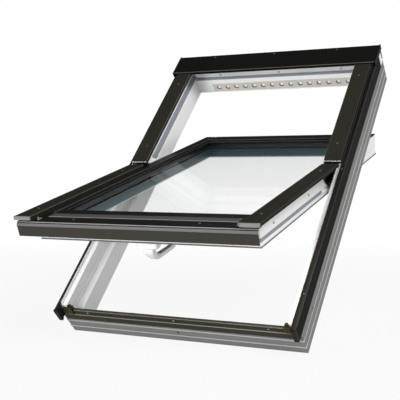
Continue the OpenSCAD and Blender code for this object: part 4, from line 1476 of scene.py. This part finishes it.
@dataclass
class Studio:
    """Pale floor, soft lights, white background and the camera, in metres and degrees.

    The camera's lens and sensor are in millimetres.
    """

    floor_z: float = -0.0288
    floor_half: float = 14.0
    floor_tone: float = 0.55
    near_white: float = 0.9
    fade: Run = (0.9, 4.5)
    ambient: float = 0.44
    dusk: Run = (0.12, 0.3)
    dusk_depth: float = 0.95
    camera_at: tuple[float, float, float] = (1.1856, -2.2415, 0.4798)
    azimuth: float = 26.5
    elevation: float = 2.0
    lens: float = 77.96
    sensor: float = 36.0
    clip: Run = (0.05, 100.0)
    aim: tuple[float, float, float] = (0.0, 0.25, 0.4)
    lamps: tuple[Lamp, ...] = (
        Lamp("key_light", (-0.6, -2.6, 2.6), 2.2, 10.0),
        Lamp("low_light", (-0.9, -5.0, 0.4), 2.4, 325.0),
        Lamp("side_light", (2.8, -1.8, 3.0), 2.0, 130.0),
    )

    def camera(self) -> None:
        """Places the camera at the photo's angle."""
        data = bpy.data.cameras.new("camera")
        data.lens, data.sensor_width, data.sensor_fit = self.lens, self.sensor, "HORIZONTAL"
        data.clip_start, data.clip_end = self.clip
        made = bpy.data.objects.new("camera", data)
        a, e = math.radians(self.azimuth), math.radians(self.elevation)
        back = Vector((math.sin(a) * math.cos(e), -math.cos(a) * math.cos(e), math.sin(e)))
        right = Vector((math.cos(a), math.sin(a), 0.0))
        turn = Matrix((right, back.cross(right), back)).transposed()
        made.matrix_world = Matrix.Translation(self.camera_at) @ turn.to_4x4()
        bpy.context.scene.collection.objects.link(made)
        bpy.context.scene.camera = made

    @staticmethod
    def _seen(graph: Graph, *rays: str) -> Wire:
        """Returns the sum of the named values of the light path, such as 1 for a kind of ray."""
        path = graph.node("ShaderNodeLightPath").outputs
        return sum((Wire(graph, path[ray]) for ray in rays[1:]), Wire(graph, path[rays[0]]))

    def floor(self) -> None:
        """Lays a pale floor that reads white, more so with distance, and keeps a soft shadow."""
        graph = Graph.material("studio_floor")
        seen = self._seen(graph, "Is Camera Ray", "Is Transmission Ray", "Is Glossy Ray")
        across, along, _ = graph.split(graph.local())
        away = (across * across + along * along).root()
        white = self.near_white + away.ease(*self.fade) * (1.0 - self.near_white)
        diffuse = graph.node("ShaderNodeBsdfDiffuse", sockets={"Color": (self.floor_tone,) * 3})
        glow = graph.node("ShaderNodeEmission", sockets={"Color": (1.0, 1.0, 1.0), "Strength": 1.0})
        blend = graph.node("ShaderNodeMixShader", sockets={0: seen * white})
        graph.join(diffuse, blend, 1)
        graph.join(glow, blend, 2)
        graph.join(blend, graph.node("ShaderNodeOutputMaterial"), "Surface")
        corner = np.array([[-1, -1, 0], [1, -1, 0], [1, 1, 0], [-1, 1, 0]], dtype=float) * self.floor_half
        shell = Shell(corner + [0.0, 0.0, self.floor_z], [[0, 1, 2, 3]], np.zeros(4))
        MESHER.piece("floor", shell, graph.owner, smooth=False)

    def world(self) -> None:
        """Sets a white background and a plain ambient level, darker overhead for reflections."""
        world = bpy.data.worlds.new("studio")
        bpy.context.scene.world = world
        graph = Graph(world)
        white, black = (1.0, 1.0, 1.0), (0.0, 0.0, 0.0)
        mirrored = self._seen(graph, "Glossy Depth") > 0.5
        through = self._seen(graph, "Is Transmission Ray") * (1.0 - mirrored)
        seen = self._seen(graph, "Is Camera Ray") + through
        _, _, up = graph.split(graph.coordinate("Generated"))
        shine = graph.mix(1.0 - up.ease(*self.dusk) * self.dusk_depth, black, white)
        plain = graph.mix(self._seen(graph, "Is Glossy Ray"), (self.ambient,) * 3, shine)
        back = graph.node(
            "ShaderNodeBackground", sockets={"Color": graph.mix(seen, plain, white), "Strength": 1.0}
        )
        graph.join(back, graph.node("ShaderNodeOutputWorld"), "Surface")

    def hang(self, lamp: Lamp) -> None:
        """Hangs one light that faces the window and shows in no reflection and through no glass.

        Args:
            lamp: the light.
        """
        data = bpy.data.lights.new(lamp.name, "AREA")
        data.energy, data.size = lamp.watts, lamp.side
        made = bpy.data.objects.new(lamp.name, data)
        turn = (Vector(self.aim) - Vector(lamp.at)).to_track_quat("-Z", "Y")
        made.matrix_world = Matrix.Translation(lamp.at) @ turn.to_matrix().to_4x4()
        made.visible_glossy = made.visible_transmission = False
        bpy.context.scene.collection.objects.link(made)

    def build(self) -> None:
        """Sets up the whole studio."""
        bpy.context.scene.view_settings.view_transform = "Standard"
        self.camera()
        self.floor()
        self.world()
        for lamp in self.lamps:
            self.hang(lamp)


def main() -> None:
    """Builds the studio and dresses the window."""
    logging.basicConfig(level=logging.INFO, format="%(message)s")
    Studio().build()
    finishes = Finishes()
    for part in (Dresser, CoverSheets, FrameSheets, SashSheets, FineTrim, HandleSet):
        part(finishes).build()
        LOG.info("built %s", part.__name__)


if __name__ == "__main__":
    main()
